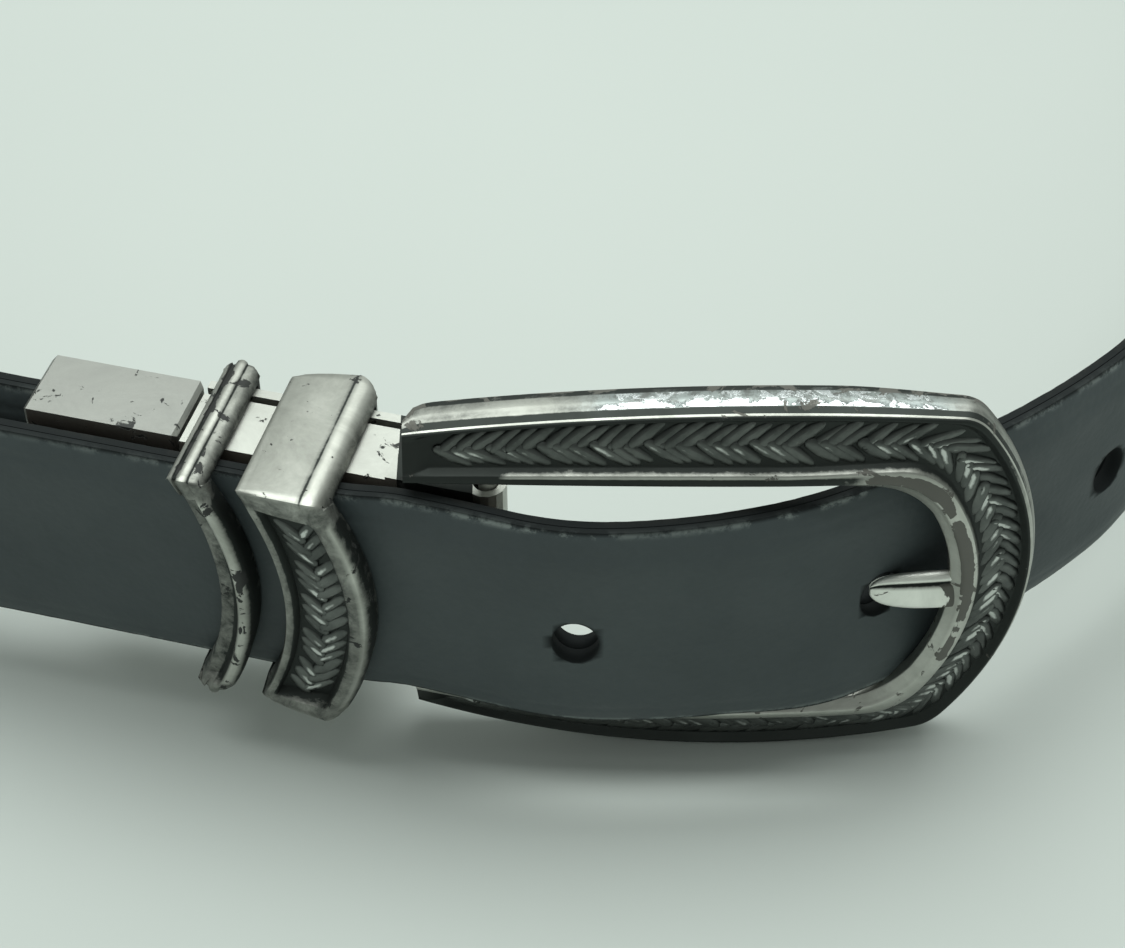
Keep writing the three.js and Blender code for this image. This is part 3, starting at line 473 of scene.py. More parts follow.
def shade_hole_walls(mesh):
    """Paints the holes' walls and lips with the dark edge colour, as painted shade inside the holes."""
    points = np.empty(len(mesh.vertices) * 3, dtype=np.float32)
    mesh.vertices.foreach_get("co", points)
    points = points.reshape(-1, 3) / MM
    edge = np.empty(len(mesh.vertices), dtype=np.float32)
    mesh.attributes["edge"].data.foreach_get("value", edge)
    for at, outward, sideways in hole_frames():
        to = points - at
        across, up = to @ sideways / (HOLE_WIDTH / 2), to[:, 2] / (HOLE_HEIGHT / 2)
        near = (np.abs(to @ outward) < STRAP_THICKNESS) & (across**2 + up**2 < 1.08)
        edge[near] = 1
    mesh.attributes["edge"].data.foreach_set("value", edge)


def punched(ply, tool, name):
    """The ply with the tool's holes in it, as a plain mesh."""
    cut = ply.modifiers.new("holes", "BOOLEAN")
    cut.operation, cut.object, cut.solver = "DIFFERENCE", tool, "EXACT"
    plain = evaluated_copy(ply, name)
    shade_hole_walls(plain.data)
    return plain


tool = punches()
outer_ply = punched(strap_ply("outer", 1), tool, "strap_outer_leather")
inner_ply = punched(strap_ply("inner", -1), tool, "strap_inner_leather")
bpy.data.objects.remove(tool)
print("Ply faces:", len(outer_ply.data.polygons), len(inner_ply.data.polygons))

# %% [markdown]
# ## Materials from nodes
#
# A finish is built from a few layers of noise. These helpers add a node and link it in one call, so
# that each material below reads as a recipe.


# %% Node helpers
class Recipe:
    """A new material whose nodes are added one by one."""

    def __init__(self, name):
        self.material = bpy.data.materials.new(name)
        self.material.use_nodes = True
        self.tree = self.material.node_tree
        self.shader = self.tree.nodes["Principled BSDF"]

    def add(self, kind, settings=None, **inputs):
        node = self.tree.nodes.new(kind)
        for key, value in (settings or {}).items():
            setattr(node, key, value)
        for key, value in inputs.items():
            self.feed(node.inputs[key.replace("_", " ")], value)
        return node

    def feed(self, socket, value):
        if isinstance(value, bpy.types.NodeSocket):
            self.tree.links.new(value, socket)
        elif hasattr(value, "outputs"):
            self.tree.links.new(value.outputs[0], socket)
        else:
            socket.default_value = value

    def value(self, name):
        return self.add("ShaderNodeAttribute", {"attribute_name": name}).outputs["Fac"]

    def position(self):
        return self.add("ShaderNodeTexCoord").outputs["Object"]

    def noise(self, scale, detail=4.0, roughness=0.6, distortion=0.0, vector=None):
        sizes = {"Scale": scale, "Detail": detail, "Roughness": roughness, "Distortion": distortion}
        node = self.add("ShaderNodeTexNoise", **sizes)
        self.feed(node.inputs["Vector"], vector or self.position())
        return node.outputs["Fac"]

    def ramp(self, fac, *stops):
        node = self.add("ShaderNodeValToRGB")
        self.feed(node.inputs["Fac"], fac)
        while len(node.color_ramp.elements) < len(stops):
            node.color_ramp.elements.new(0.5)
        for element, (at, colour) in zip(node.color_ramp.elements, stops):
            element.position = at
            element.color = (*colour, 1) if hasattr(colour, "__len__") else (colour, colour, colour, 1)
        return node.outputs["Color"]

    def maths(self, operation, a, b, clamp=False):
        node = self.add("ShaderNodeMath", {"operation": operation, "use_clamp": clamp})
        self.feed(node.inputs[0], a)
        self.feed(node.inputs[1], b)
        return node.outputs[0]

    def mix(self, fac, a, b):
        node = self.add("ShaderNodeMix", {"data_type": "RGBA"})
        self.feed(node.inputs[0], fac)
        self.feed(node.inputs[6], (*a, 1) if isinstance(a, tuple) else a)
        self.feed(node.inputs[7], (*b, 1) if isinstance(b, tuple) else b)
        return node.outputs[2]

    def bump(self, height, strength, distance, under=None):
        node = self.add("ShaderNodeBump", Strength=strength, Distance=distance)
        self.feed(node.inputs["Height"], height)
        if under is not None:
            self.feed(node.inputs["Normal"], under)
        return node.outputs["Normal"]

    def finish(self, **sockets):
        for key, value in sockets.items():
            self.feed(self.shader.inputs[key.replace("_", " ")], value)
        return self.material


# %% [markdown]
# ## Leather
#
# The outer ply is dyed black, which in soft daylight reads as dark slate. Fine pores give it a sheen
# that breaks up, handling leaves broad duller and smoother patches, and the dye has rubbed off along
# the edges, where the paler core shows as a thin broken line. The inner ply is the same leather in
# dark brown.


# %% Leather finishes
# Colour of the dyed edges, also used as painted shade on the hole walls.
EDGE_DYE_AND_HOLE_SHADE = (0.016, 0.019, 0.0195)


def leather(name, dark, light, core, rub):
    """Dyed leather in two close tones, with its core showing where the edges are rubbed."""
    r = Recipe(name)
    pores = r.add("ShaderNodeTexVoronoi", {"feature": "SMOOTH_F1"}, Vector=r.position(), Scale=1500.0)
    grain = r.noise(900.0, 6.0, 0.65)
    patches = r.noise(38.0, 3.0, 0.55)
    base = r.mix(r.ramp(patches, (0.3, 0.0), (0.75, 1.0)), dark, light)
    base = r.mix(r.maths("MULTIPLY", grain, 0.35), base, tuple(c * 0.5 for c in dark))
    # Dyed edges, and painted shade on the hole walls.
    base = r.mix(r.value("edge"), base, EDGE_DYE_AND_HOLE_SHADE)
    broken = r.ramp(r.noise(260.0, 8.0, 0.78), (0.47, 0.0), (0.56, 1.0))
    stretch = r.ramp(r.noise(45.0, 2.0, 0.5), (0.38, 0.15), (0.6, 1.0))
    rubbed = r.maths("MULTIPLY", r.maths("MULTIPLY", r.value("edge_wear"), broken), stretch)
    base = r.mix(r.maths("MULTIPLY", rubbed, rub), base, core)
    rough = r.ramp(r.noise(90.0, 4.0, 0.6), (0.25, 0.46), (0.8, 0.66))
    rough = r.mix(r.value("edge"), rough, (0.8, 0.8, 0.8))
    sheen = r.maths("SUBTRACT", 0.42, r.maths("MULTIPLY", r.value("edge"), 0.3))
    skin_bump = r.bump(r.maths("ADD", grain, pores), 0.28, 0.00012)
    wrinkle = r.bump(r.noise(160.0, 3.0, 0.5, 0.6), 0.16, 0.0004, skin_bump)
    return r.finish(Base_Color=base, Roughness=rough, Normal=wrinkle, Specular_IOR_Level=sheen)


BLACK_TONES = ((0.046, 0.060, 0.064), (0.074, 0.093, 0.096), (0.22, 0.25, 0.24))
BROWN_TONES = ((0.040, 0.032, 0.028), (0.058, 0.044, 0.036), (0.20, 0.17, 0.14))
black_leather = leather("black_leather", *BLACK_TONES, rub=0.95)
brown_leather = leather("brown_leather", *BROWN_TONES, rub=0.5)
finish_piece(outer_ply, black_leather)
finish_piece(inner_ply, brown_leather)
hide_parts("strap_black_ply")
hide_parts("strap_brown_ply")

# %% [markdown]
# ## Antique silver
#
# Antique silver is bright plate with dark patina left in the recesses. Three point values steer it.
# The recess value dulls the plate up to a half, and above that it is patina, with a ragged line in between.
# It also carries painted shade: the frame's upper rim faces down and is painted dark.
# `flake` says how likely the plate has come off, which leaves a sharp-edged patch of dull base metal.
# The pitting value marks where the plate is eaten into a cloudy mottle, with bright painted glints.


# %% Metal finish
# GLINT is a painted highlight: the colour of the bright specks in the pitted zone.
CLOUDY, DARK_CLOUD, GLINT = (0.34, 0.385, 0.385), (0.15, 0.165, 0.165), (0.88, 0.92, 0.93)
# Patina in the hollows; the same colour also paints shade on the upper rim and the shadow on the carrier's
# neck.
PATINA_AND_SHADE = (0.045, 0.05, 0.047)
BARE = (0.145, 0.142, 0.128)
DARK_CHIP = (0.05, 0.052, 0.05)
# Painted shadow: the carrier's neck is painted dark over this X span, where it lies in the shade under the
# frame's leg.
NECK_PAINTED_SHADOW = (-4.5 * MM, 2.3 * MM)  # the X span over which the carrier's neck is dark


def antique_silver(name, bright, dull, base_metal, chip_scale=240.0, spots=0.0, rough=0.34, painted_shadow_span=None):
    """Plate in two close tones, with patina, painted glints, chips down to the base metal, scratches, and a
    painted shadow over an optional X span.
    """
    r = Recipe(name)
    mottle = r.noise(130.0, 6.0, 0.68, 0.5)
    tone = r.mix(r.ramp(mottle, (0.36, 0.0), (0.66, 1.0)), dull, bright)
    pitting_and_glints = r.value("pitting_and_glints")
    # Painted glints: bright specks that stand in for sparkle on the pitted plate.
    glint = r.ramp(r.maths("MULTIPLY", pitting_and_glints, r.noise(620.0, 9.0, 0.74, 0.5)), (0.49, 0.0), (0.53, 1.0))
    cloudy = r.mix(r.ramp(r.noise(900.0, 5.0, 0.7), (0.42, 0.0), (0.55, 1.0)), DARK_CLOUD, CLOUDY)
    tone = r.mix(r.maths("MULTIPLY", pitting_and_glints, 0.8, clamp=True), tone, cloudy)
    tone = r.mix(glint, tone, GLINT)
    ragged = r.ramp(r.noise(520.0, 6.0, 0.72, 0.4), (0.3, 0.6), (0.7, 1.4))
    deep = r.maths("MULTIPLY", r.value("recess_and_shade"), ragged)
    # Painted shadow: over the given X span the plate turns fully to the dark patina colour.
    if painted_shadow_span:
        across = r.add("ShaderNodeSeparateXYZ", Vector=r.position()).outputs["X"]
        after = r.maths("GREATER_THAN", across, painted_shadow_span[0])
        before = r.maths("LESS_THAN", across, painted_shadow_span[1])
        deep = r.maths("MAXIMUM", deep, r.maths("MULTIPLY", after, before))
    recess_and_shade = r.ramp(deep, (0.0, 0.0), (0.3, 0.45), (0.52, 0.85), (0.6, 1.0))
    tone = r.mix(recess_and_shade, tone, PATINA_AND_SHADE)
    chip_noise = r.noise(chip_scale, 7.0, 0.62, 0.9)
    chance = r.maths("ADD", chip_noise, r.maths("MULTIPLY", r.maths("ADD", r.value("flake"), spots), 0.3))
    chip = r.ramp(chance, (0.655, 0.0), (0.667, 1.0))
    tone = r.mix(chip, tone, base_metal)
    drawn_out = r.add("ShaderNodeMapping", Vector=r.position(), Scale=(1.0, 4.0, 22.0))
    scratches = r.noise(60.0, 8.0, 0.8, 0.2, drawn_out)
    worn = r.ramp(mottle, (0.3, rough + 0.08), (0.7, rough - 0.05))
    worn = r.maths("ADD", worn, r.maths("MULTIPLY", recess_and_shade, 0.2))
    worn = r.maths("ADD", worn, r.maths("MULTIPLY", chip, 0.2), clamp=True)
    worn = r.maths("SUBTRACT", worn, r.maths("MULTIPLY", glint, 0.14), clamp=True)
    metallic = r.maths("SUBTRACT", 1.0, r.maths("MULTIPLY", chip, 0.35))
    normal = r.bump(scratches, 0.1, 0.0002)
    normal = r.bump(glint, 0.4, 0.00012, normal)
    normal = r.bump(r.maths("SUBTRACT", 1.0, chip), 0.5, 0.00006, normal)
    return r.finish(Base_Color=tone, Metallic=metallic, Roughness=worn, Normal=normal)


plate = antique_silver("antique_silver", (0.62, 0.625, 0.575), (0.45, 0.455, 0.415), BARE)
prong_plate = antique_silver("prong_silver", (0.92, 0.93, 0.87), (0.75, 0.76, 0.71), BARE, rough=0.45)
keeper_plate = antique_silver(
    "keeper_silver", (0.6, 0.605, 0.555), (0.38, 0.385, 0.35), DARK_CHIP, 420.0, spots=0.02, rough=0.38,
)
satin = antique_silver(
    "satin_silver", (0.38, 0.385, 0.36), (0.31, 0.315, 0.295), DARK_CHIP, 500.0, spots=0.1, rough=0.4,
)
# Painted light: the carrier has the clamp block's satin finish, painted lighter here to stand in for the light
# on it.
strip_silver = antique_silver(
    "strip_silver", (0.60, 0.61, 0.565), (0.48, 0.485, 0.45), DARK_CHIP, 500.0, 0.1, 0.42, NECK_PAINTED_SHADOW,
)
dark_steel = antique_silver("dark_steel", (0.2, 0.2, 0.19), (0.12, 0.12, 0.11), DARK_CHIP)


def braided_metal():
    """Nearly black silver with painted highlights: short bright strokes along the crests of some strands."""
    r = Recipe("braid_silver")
    mottle = r.ramp(r.noise(240.0, 5.0, 0.65), (0.35, 0.0), (0.65, 1.0))
    dark = r.mix(mottle, (0.080, 0.087, 0.082), (0.15, 0.16, 0.15))
    dark = r.mix(r.value("recess_and_shade"), dark, (0.035, 0.039, 0.037))
    broken = r.ramp(r.noise(620.0, 5.0, 0.7), (0.3, 0.5), (0.7, 1.35))
    reach = r.maths("MULTIPLY", r.maths("MULTIPLY", r.value("crest"), r.value("shine")), broken)
    # Painted highlights along the strand crests.
    crest_highlight = r.ramp(reach, (0.24, 0.0), (0.5, 1.0))
    tone = r.mix(crest_highlight, dark, (0.62, 0.64, 0.61))
    relief = r.bump(r.noise(800.0, 4.0, 0.6), 0.25, 0.0001)
    return r.finish(Base_Color=tone, Metallic=0.9, Roughness=0.4, Normal=relief)


strand_silver = braided_metal()

# %% [markdown]
# ## The D-shaped frame
#
# The frame is cast: two legs, a round end, a raised rim round the opening, a sunken channel for the
# braid, and a tall outer wall. Two outlines, inner and outer, fix its plan, and one section travels
# between them. Every corner of the section is rounded a little, as casting and polishing leave it.

# %% Frame outlines
WALL_BULGE = 0.35
OUTER = {
    "length": FRAME_LENGTH, "peak": FRAME_HEIGHT / 2 - WALL_BULGE, "peak_at": 31,
    "leg": 115, "end": 33, "corner": 1.4,
}
INNER = {
    "length": OPENING_LENGTH, "peak": OPENING_HEIGHT / 2, "peak_at": FRAME_LENGTH / 2,
    "leg": 300, "end": 23, "corner": 3.6,
}
LEG_POINTS, CORNER_POINTS, END_POINTS = 56, 14, 26
FRAME_MIDDLE_Z = FRAME_HEIGHT / 2


def outline(shape):
    """Points from the upper leg's open end, round the end, to the lower leg's, about the middle."""

    def leg_height(x):
        return shape["peak"] - shape["leg"] + math.sqrt(shape["leg"] ** 2 - (x - shape["peak_at"]) ** 2)

    def end_place(v):
        return shape["length"] - shape["end"] + math.sqrt(max(shape["end"] ** 2 - v**2, 0))

    x, v = shape["length"], shape["peak"]
    for _ in range(30):
        x, v = end_place(v), leg_height(x)
    cut = shape["corner"]
    leg_end, arc_start = (x - cut, leg_height(x - cut)), (end_place(v - cut), v - cut)
    upper = []
    for i in range(LEG_POINTS + 1):
        along = leg_end[0] * i / LEG_POINTS
        upper.append((along, leg_height(along)))
    for i in range(1, CORNER_POINTS + 1):
        t = i / CORNER_POINTS
        corner = zip(leg_end, (x, v), arc_start)
        upper.append([(1 - t) ** 2 * a + 2 * t * (1 - t) * b + t * t * c for a, b, c in corner])
    for i in range(1, END_POINTS + 1):
        height = arc_start[1] * (1 - i / END_POINTS)
        upper.append((end_place(height), height))
    upper = np.array(upper)
    return np.vstack([upper, upper[-2::-1] * (1, -1)])


inside, outside = outline(INNER), outline(OUTER)
CHANNEL_MIDDLE = 0.55  # share of the way across the ring
ring_middle = inside * (1 - CHANNEL_MIDDLE) + outside * CHANNEL_MIDDLE
ring_along = distances(ring_middle)
print("Braid channel:", round(ring_along[-1], 1), "mm long")

# %% Frame sections
RIM_SHARE, END_RIM, RIDGE_SHARE, EASE, OUTER_EASE = 0.2, 0.075, 0.06, 0.05, 0.09
RIM_DEPTH, END_RIM_DEPTH = 3.3, 2.5
WALL_DEPTH, END_WALL_DEPTH = 3.7, 2.9
CHANNEL_DEPTH = 0.75
CHANNEL_END = 1.4
FACE_SLOPE = 2.0
ROUND_END = (OPENING_LENGTH * 0.7, OPENING_LENGTH * 0.95)
CORNER_EASE = 0.16
CORNER_STEPS = (0, 1 / 3, 2 / 3, 1)


def rim_share(x):
    """The rim's share of the ring's width: more at the round end."""
    return RIM_SHARE + END_RIM * eased(x, *ROUND_END)


def frame_point(i, share, depth):
    """A point of the frame at station i, share of the way across it and depth behind its face."""
    p = inside[i] + (outside[i] - inside[i]) * share
    return np.array([p[0], frame_bow(p[0]) + depth, FRAME_MIDDLE_Z + p[1]])


def rounded(points):
    """A closed row of points with every corner replaced by a short curve."""
    out = []
    for p, before, after in zip(points, np.roll(points, 1, axis=0), np.roll(points, -1, axis=0)):
        back, on = before - p, after - p
        a = p + back * min(CORNER_EASE / np.linalg.norm(back), 0.4)
        b = p + on * min(CORNER_EASE / np.linalg.norm(on), 0.4)
        out += [(1 - t) ** 2 * a + 2 * t * (1 - t) * p + t * t * b for t in CORNER_STEPS]
    return np.array(out)


def worn_rim(x, v):
    """How bare the rim's middle is: all of it above the prong, two patches below it."""
    end = eased(x, OPENING_LENGTH * 0.84, OPENING_LENGTH * 0.93)
    below = max(bell(v, -2.5, 1.6), bell(v, -8.3, 2.4))
    return end * (0.95 if v > -1 else 0.2 + 0.95 * below)


def frame_section(i):
    """The frame's section at station i, from the opening outwards and round the back, with its marks."""
    x, v = ring_middle[i]
    endness = eased(x, *ROUND_END)
    width = np.linalg.norm(outside[i] - inside[i])
    from_end = min(ring_along[i], ring_along[-1] - ring_along[i])
    sunk = CHANNEL_DEPTH * eased(from_end, CHANNEL_END * 0.8, CHANNEL_END * 1.6)
    closing = math.sqrt(max(1 - (1 - min(from_end / 2.4, 1)) ** 2, 0))
    wall = (WALL_DEPTH + (END_WALL_DEPTH - WALL_DEPTH) * endness) * (0.45 + 0.55 * closing)
    rim = RIM_DEPTH + (END_RIM_DEPTH - RIM_DEPTH) * endness
    bulge = WALL_BULGE / width
    bare = worn_rim(x, v)
    lip = rim_share(x)
    top = eased(v, 2, 10)
    right = eased(x, 49, 54)
    # Painted shade: the upper leg's rim faces down, and its recess value paints it dark.
    shaded = top * (1 - eased(x, 38, 46))
    # The pitted zone on the upper leg's wall, with its painted glints.
    pitting_and_glints = top * eased(x, 12, 17) * (1 - eased(x, 42, 47))
    # Painted highlight: the upper leg's wall has less patina around x 9.5.
    matte_off_highlight = (1 - pitting_and_glints) * (1 - bell(x, 9.5, 2.5) * top)
    dulled = 0.08 + 0.2 * matte_off_highlight * (1 - right)
    band = eased(x, 8, 10) if v > 0 else 1
    ridge, back = FACE_SLOPE, FACE_SLOPE + wall
    # share of the way across, depth behind the face, recess and painted shade, flake, pitting and painted
    # glints
    rows = [
        (-0.05 * endness, 0.8, 0.1 + 0.9 * shaded, 0.15, 0),
        (lip * 0.2, 0.3, 0.1 + 0.9 * shaded, 0.15, 0),
        (lip * 0.36, 0.02, 0.05 + 0.9 * shaded, 0.2 + 0.4 * bare, 0),
        (lip * 0.5, 0, shaded, 1.1 * bare, 0),
        (lip * 0.7, 0.07, 0.95 * shaded, 1.05 * bare, 0),
        (lip, FACE_SLOPE * lip * 0.5, 1 - 0.95 * band, 0.2, 0),
        (lip + EASE * 0.3, FACE_SLOPE * lip * 0.7, 1 - 0.7 * band, 0.2, 0),
        (lip + EASE, FACE_SLOPE * lip + sunk, 1, 0, 0),
        (1 - RIDGE_SHARE - OUTER_EASE, FACE_SLOPE * 0.8 + sunk, 1, 0, 0),
        (1 - RIDGE_SHARE, FACE_SLOPE * 0.83, 0.95, 0, 0),
        (0.978, FACE_SLOPE * 0.88, 0.85 - 0.75 * right, 0.1, 0),
        (1, ridge + 0.1, 0.1, 0.15, 0),
        (1 + bulge * 0.1, ridge + wall * 0.05, 1 - 0.6 * right, 0.2, 0),
        (1 + bulge * 0.4, ridge + wall * 0.17, 0.85 - 0.6 * right, 0.25, 0),
        (1 + bulge * 0.75, ridge + wall * 0.3, dulled + 0.1, 0.2, 1.15 * pitting_and_glints),
        (1 + bulge, ridge + wall * 0.5, dulled, 0, pitting_and_glints),
        (1 + bulge * 0.95, ridge + wall * 0.7, dulled + 0.1, 0.15, 0.97 * pitting_and_glints),
        (1 + bulge * 0.8, ridge + wall * 0.82, 0.65, 0.4, 0.8 * pitting_and_glints),
        (1 + bulge * 0.5, back - 0.1, 1, 0.5, 0),
        (0.78, back, 0.7, 0.2, 0),
        (0.1, rim, 0.7, 0.2, 0),
        (-0.05 * endness, rim - 0.4, 0.05 + 0.9 * shaded, 0.2, 0),
    ]
    points = np.array([frame_point(i, share, depth) for share, depth, *_ in rows])
    marks = np.array([row[2:] for row in rows], dtype=float)
    return rounded(points), np.repeat(marks, len(CORNER_STEPS), axis=0)


def frame_body():
    sections, marks = zip(*[frame_section(i) for i in range(len(inside))])
    verts, faces = skin(np.array(sections) + OFFSET)
    recess_and_shade, flake, pitting_and_glints = np.concatenate(marks).T
    return to_object("frame_ring", verts, faces, {"recess_and_shade": recess_and_shade, "flake": flake, "pitting_and_glints": pitting_and_glints})


ring = finish_piece(frame_body(), plate)
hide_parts("buckle_frame")

# %% [markdown]
# ## The prong and the heel bar
#
# The prong is cast with the frame: a blunt beak that bends back towards the hole, with a ridge along
# its top. The heel bar joins the legs at the open end and carries the clamp's barrel.

# %% Prong and heel bar
PRONG_REACH = PRONG_LENGTH + 0.7  # a little more than the solid's, for its soft tip
PRONG_SETBACK, PRONG_DROP = 1.2, 0.4
PRONG_HALF_WIDTH, PRONG_HALF_THICKNESS = 2.1, 0.9
BAR_OVERLAP = 2.1  # how far the bar's ends sink into the legs
BAR_ROWS, BAR_POINTS = 30, 24
# reach, width, thickness
PRONG_ROWS = [
    (-0.3, 1.05, 0.9), (-0.12, 1.05, 0.95), (0.1, 1, 1), (0.25, 1, 1), (0.45, 0.97, 1), (0.6, 0.92, 0.95),
    (0.75, 0.84, 0.85), (0.86, 0.72, 0.72), (0.94, 0.54, 0.55), (0.99, 0.34, 0.36), (1.0, 0.2, 0.22),
]
# height, depth, recess: a broad face that leans up, a groove, and a narrow ledge along the top
PRONG_OUTLINE = [
    (-1, 0.1, 0.5), (-0.97, -0.5, 0.2), (-0.86, -0.9, 0), (-0.7, -0.98, 0), (-0.2, -0.9, 0), (0.3, -0.76, 0),
    (0.44, -0.68, 0.3), (0.5, -0.4, 1), (0.56, -0.32, 1), (0.63, -0.5, 0.3), (0.74, -0.62, 0), (0.9, -0.5, 0),
    (1, -0.1, 0), (1, 0.4, 0), (0.8, 0.85, 0.5), (0.5, 1, 0.6), (-0.6, 1, 0.6), (-0.9, 0.7, 0.6),
]


def prong():
    """The prong from its root on the rim to its tip, its root worn bare."""
    sections, flake, recess_and_shade = [], [], []
    for reach, width, thickness in PRONG_ROWS:
        x = OPENING_LENGTH - reach * PRONG_REACH
        y = frame_bow(x) + PRONG_SETBACK + PRONG_DROP * max(reach, 0) ** 2
        section = []
        for v, w, deep in PRONG_OUTLINE:
            depth = w * thickness * PRONG_HALF_THICKNESS
            section.append((x, y + depth, FRAME_MIDDLE_Z + v * width * PRONG_HALF_WIDTH))
            flake.append((1.1 if reach < 0.2 else 0.1) * (v < 0.5))
            recess_and_shade.append(deep)
        sections.append(section)
    verts, faces = skin(np.array(sections) + OFFSET)
    piece = to_object("frame_prong", verts, faces, {"flake": flake, "recess_and_shade": recess_and_shade})
    piece.modifiers.new("round", "SUBSURF").levels = 2
    piece.modifiers["round"].render_levels = 2
    return evaluated_copy(piece, "frame_prong")


def heel_bar_piece():
    """The round bar between the legs, a little uneven as cast."""
    turn = np.linspace(0, 2 * math.pi, BAR_POINTS, endpoint=False)
    circle = np.column_stack([np.cos(turn), np.sin(turn), np.zeros(BAR_POINTS)])
    reach = OPENING_HEIGHT / 2 + BAR_OVERLAP
    sections = []
    for z in np.linspace(-reach, reach, BAR_ROWS):
        radius = HEEL_BAR_DIAMETER / 2 * (1 + 0.02 * noise.noise(Vector((z, 0, 0))))
        sections.append(circle * radius + (*heel_bar, FRAME_MIDDLE_Z + z))
    verts, faces = skin(np.array(sections) + OFFSET)
    return to_object("frame_heel_bar", verts, faces)


finish_piece(prong(), prong_plate)
finish_piece(heel_bar_piece(), prong_plate)

# %% [markdown]
# ## The braid, with Geometry Nodes
#
# The channel holds a cast braid: bundles of three strands that start on the channel's middle line and
# splay to its two sides, like a plait. A strand is modelled once. We lay out one point for each strand
# with its direction, its outward side and its size, and a node tree puts a strand on every point,
# turns it and stretches it. The same tree serves the keeper's panel.

# %% One strand
# place along the strand, size of its section there
STRAND_ROWS = [
    (-0.5, 0.3), (-0.44, 0.7), (-0.3, 0.95), (-0.05, 1.0), (0.2, 0.95), (0.38, 0.8), (0.47, 0.5), (0.5, 0.25),
]
STRAND_OUTLINE = [
    (-0.5, -0.5), (-0.45, 0.1), (-0.26, 0.42), (0.0, 0.5), (0.26, 0.42), (0.45, 0.1), (0.5, -0.5),
]


def strand_shape():
    """A strand of length, width and height 1 along X, with its crest and its sides marked."""
    sections, recess_and_shade, crest = [], [], []
    for x, size in STRAND_ROWS:
        sections.append([(x, y * size, z * (0.4 + 0.6 * size)) for y, z in STRAND_OUTLINE])
        recess_and_shade += [1 - eased(z * size, 0, 0.4) for _, z in STRAND_OUTLINE]
        crest += [eased(z, 0.4, 0.5) * bell(x, -0.2, 0.2) for _, z in STRAND_OUTLINE]
    verts, faces = skin(np.array(sections) / MM)
    return to_object("strand", verts, faces, {"recess_and_shade": recess_and_shade, "crest": crest})


# %% Strand points
BRAID = {"pitch": 1.38, "bundle": 3, "bundle_gap": 0.46, "relief": 0.62, "thickness": 1.55}
BRAID_SEED = 5


def float_values(mesh, name, rows):
    """One number or one vector per point, for the node tree to read."""
    numbers = np.array(rows, dtype=np.float32)
    kind, field = ("FLOAT", "value") if numbers.ndim == 1 else ("FLOAT_VECTOR", "vector")
    mesh.attributes.new(name, kind, "POINT").data.foreach_set(field, numbers.ravel())


def strand_points(name, surface, length, reach, shine, first=0.6):
    """Points for strands on surface(along, share, lift), with their directions, normals and sizes."""
    places, directions, outwards, sizes, shines = [], [], [], [], []
    chance = np.random.default_rng(BRAID_SEED)
    along, i = first, 0
    while along + reach < length:
        in_bundle = i % BRAID["bundle"]
        for side in (-1, 1):
            at = along + chance.uniform(-0.12, 0.12) + (0 if side < 0 else BRAID["pitch"] * 0.4)
            start_share = 0.5 - side * (0.08 - 0.03 * in_bundle)
            end_share = 0.5 + side * (0.46 + 0.04 * chance.uniform(-1, 1))
            stretch = reach * chance.uniform(0.88, 1.12)
            a = surface(at, start_share, 0.05)
            b = surface(at + stretch, end_share, -0.22)
            up = surface(at + reach / 2, 0.5, 1.0) - surface(at + reach / 2, 0.5, 0.0)
            thickness = BRAID["thickness"] * chance.uniform(0.85, 1.1)
            places.append((a + b) / 2 * MM)
            directions.append(b - a)
            outwards.append(up)
            sizes.append(np.array([np.linalg.norm(b - a) * 1.04, thickness, BRAID["relief"]]) * MM)
            shines.append(shine(a[0], side) * chance.uniform(0, 1) ** 0.7)
        along += BRAID["pitch"] + (BRAID["bundle_gap"] if in_bundle == BRAID["bundle"] - 1 else 0)
        i += 1
    mesh = bpy.data.meshes.new(name)
    mesh.from_pydata(places, [], [])
    float_values(mesh, "shine", shines)
    float_values(mesh, "direction", directions)
    float_values(mesh, "outward", outwards)
    float_values(mesh, "size", sizes)
    return placed(name, mesh)


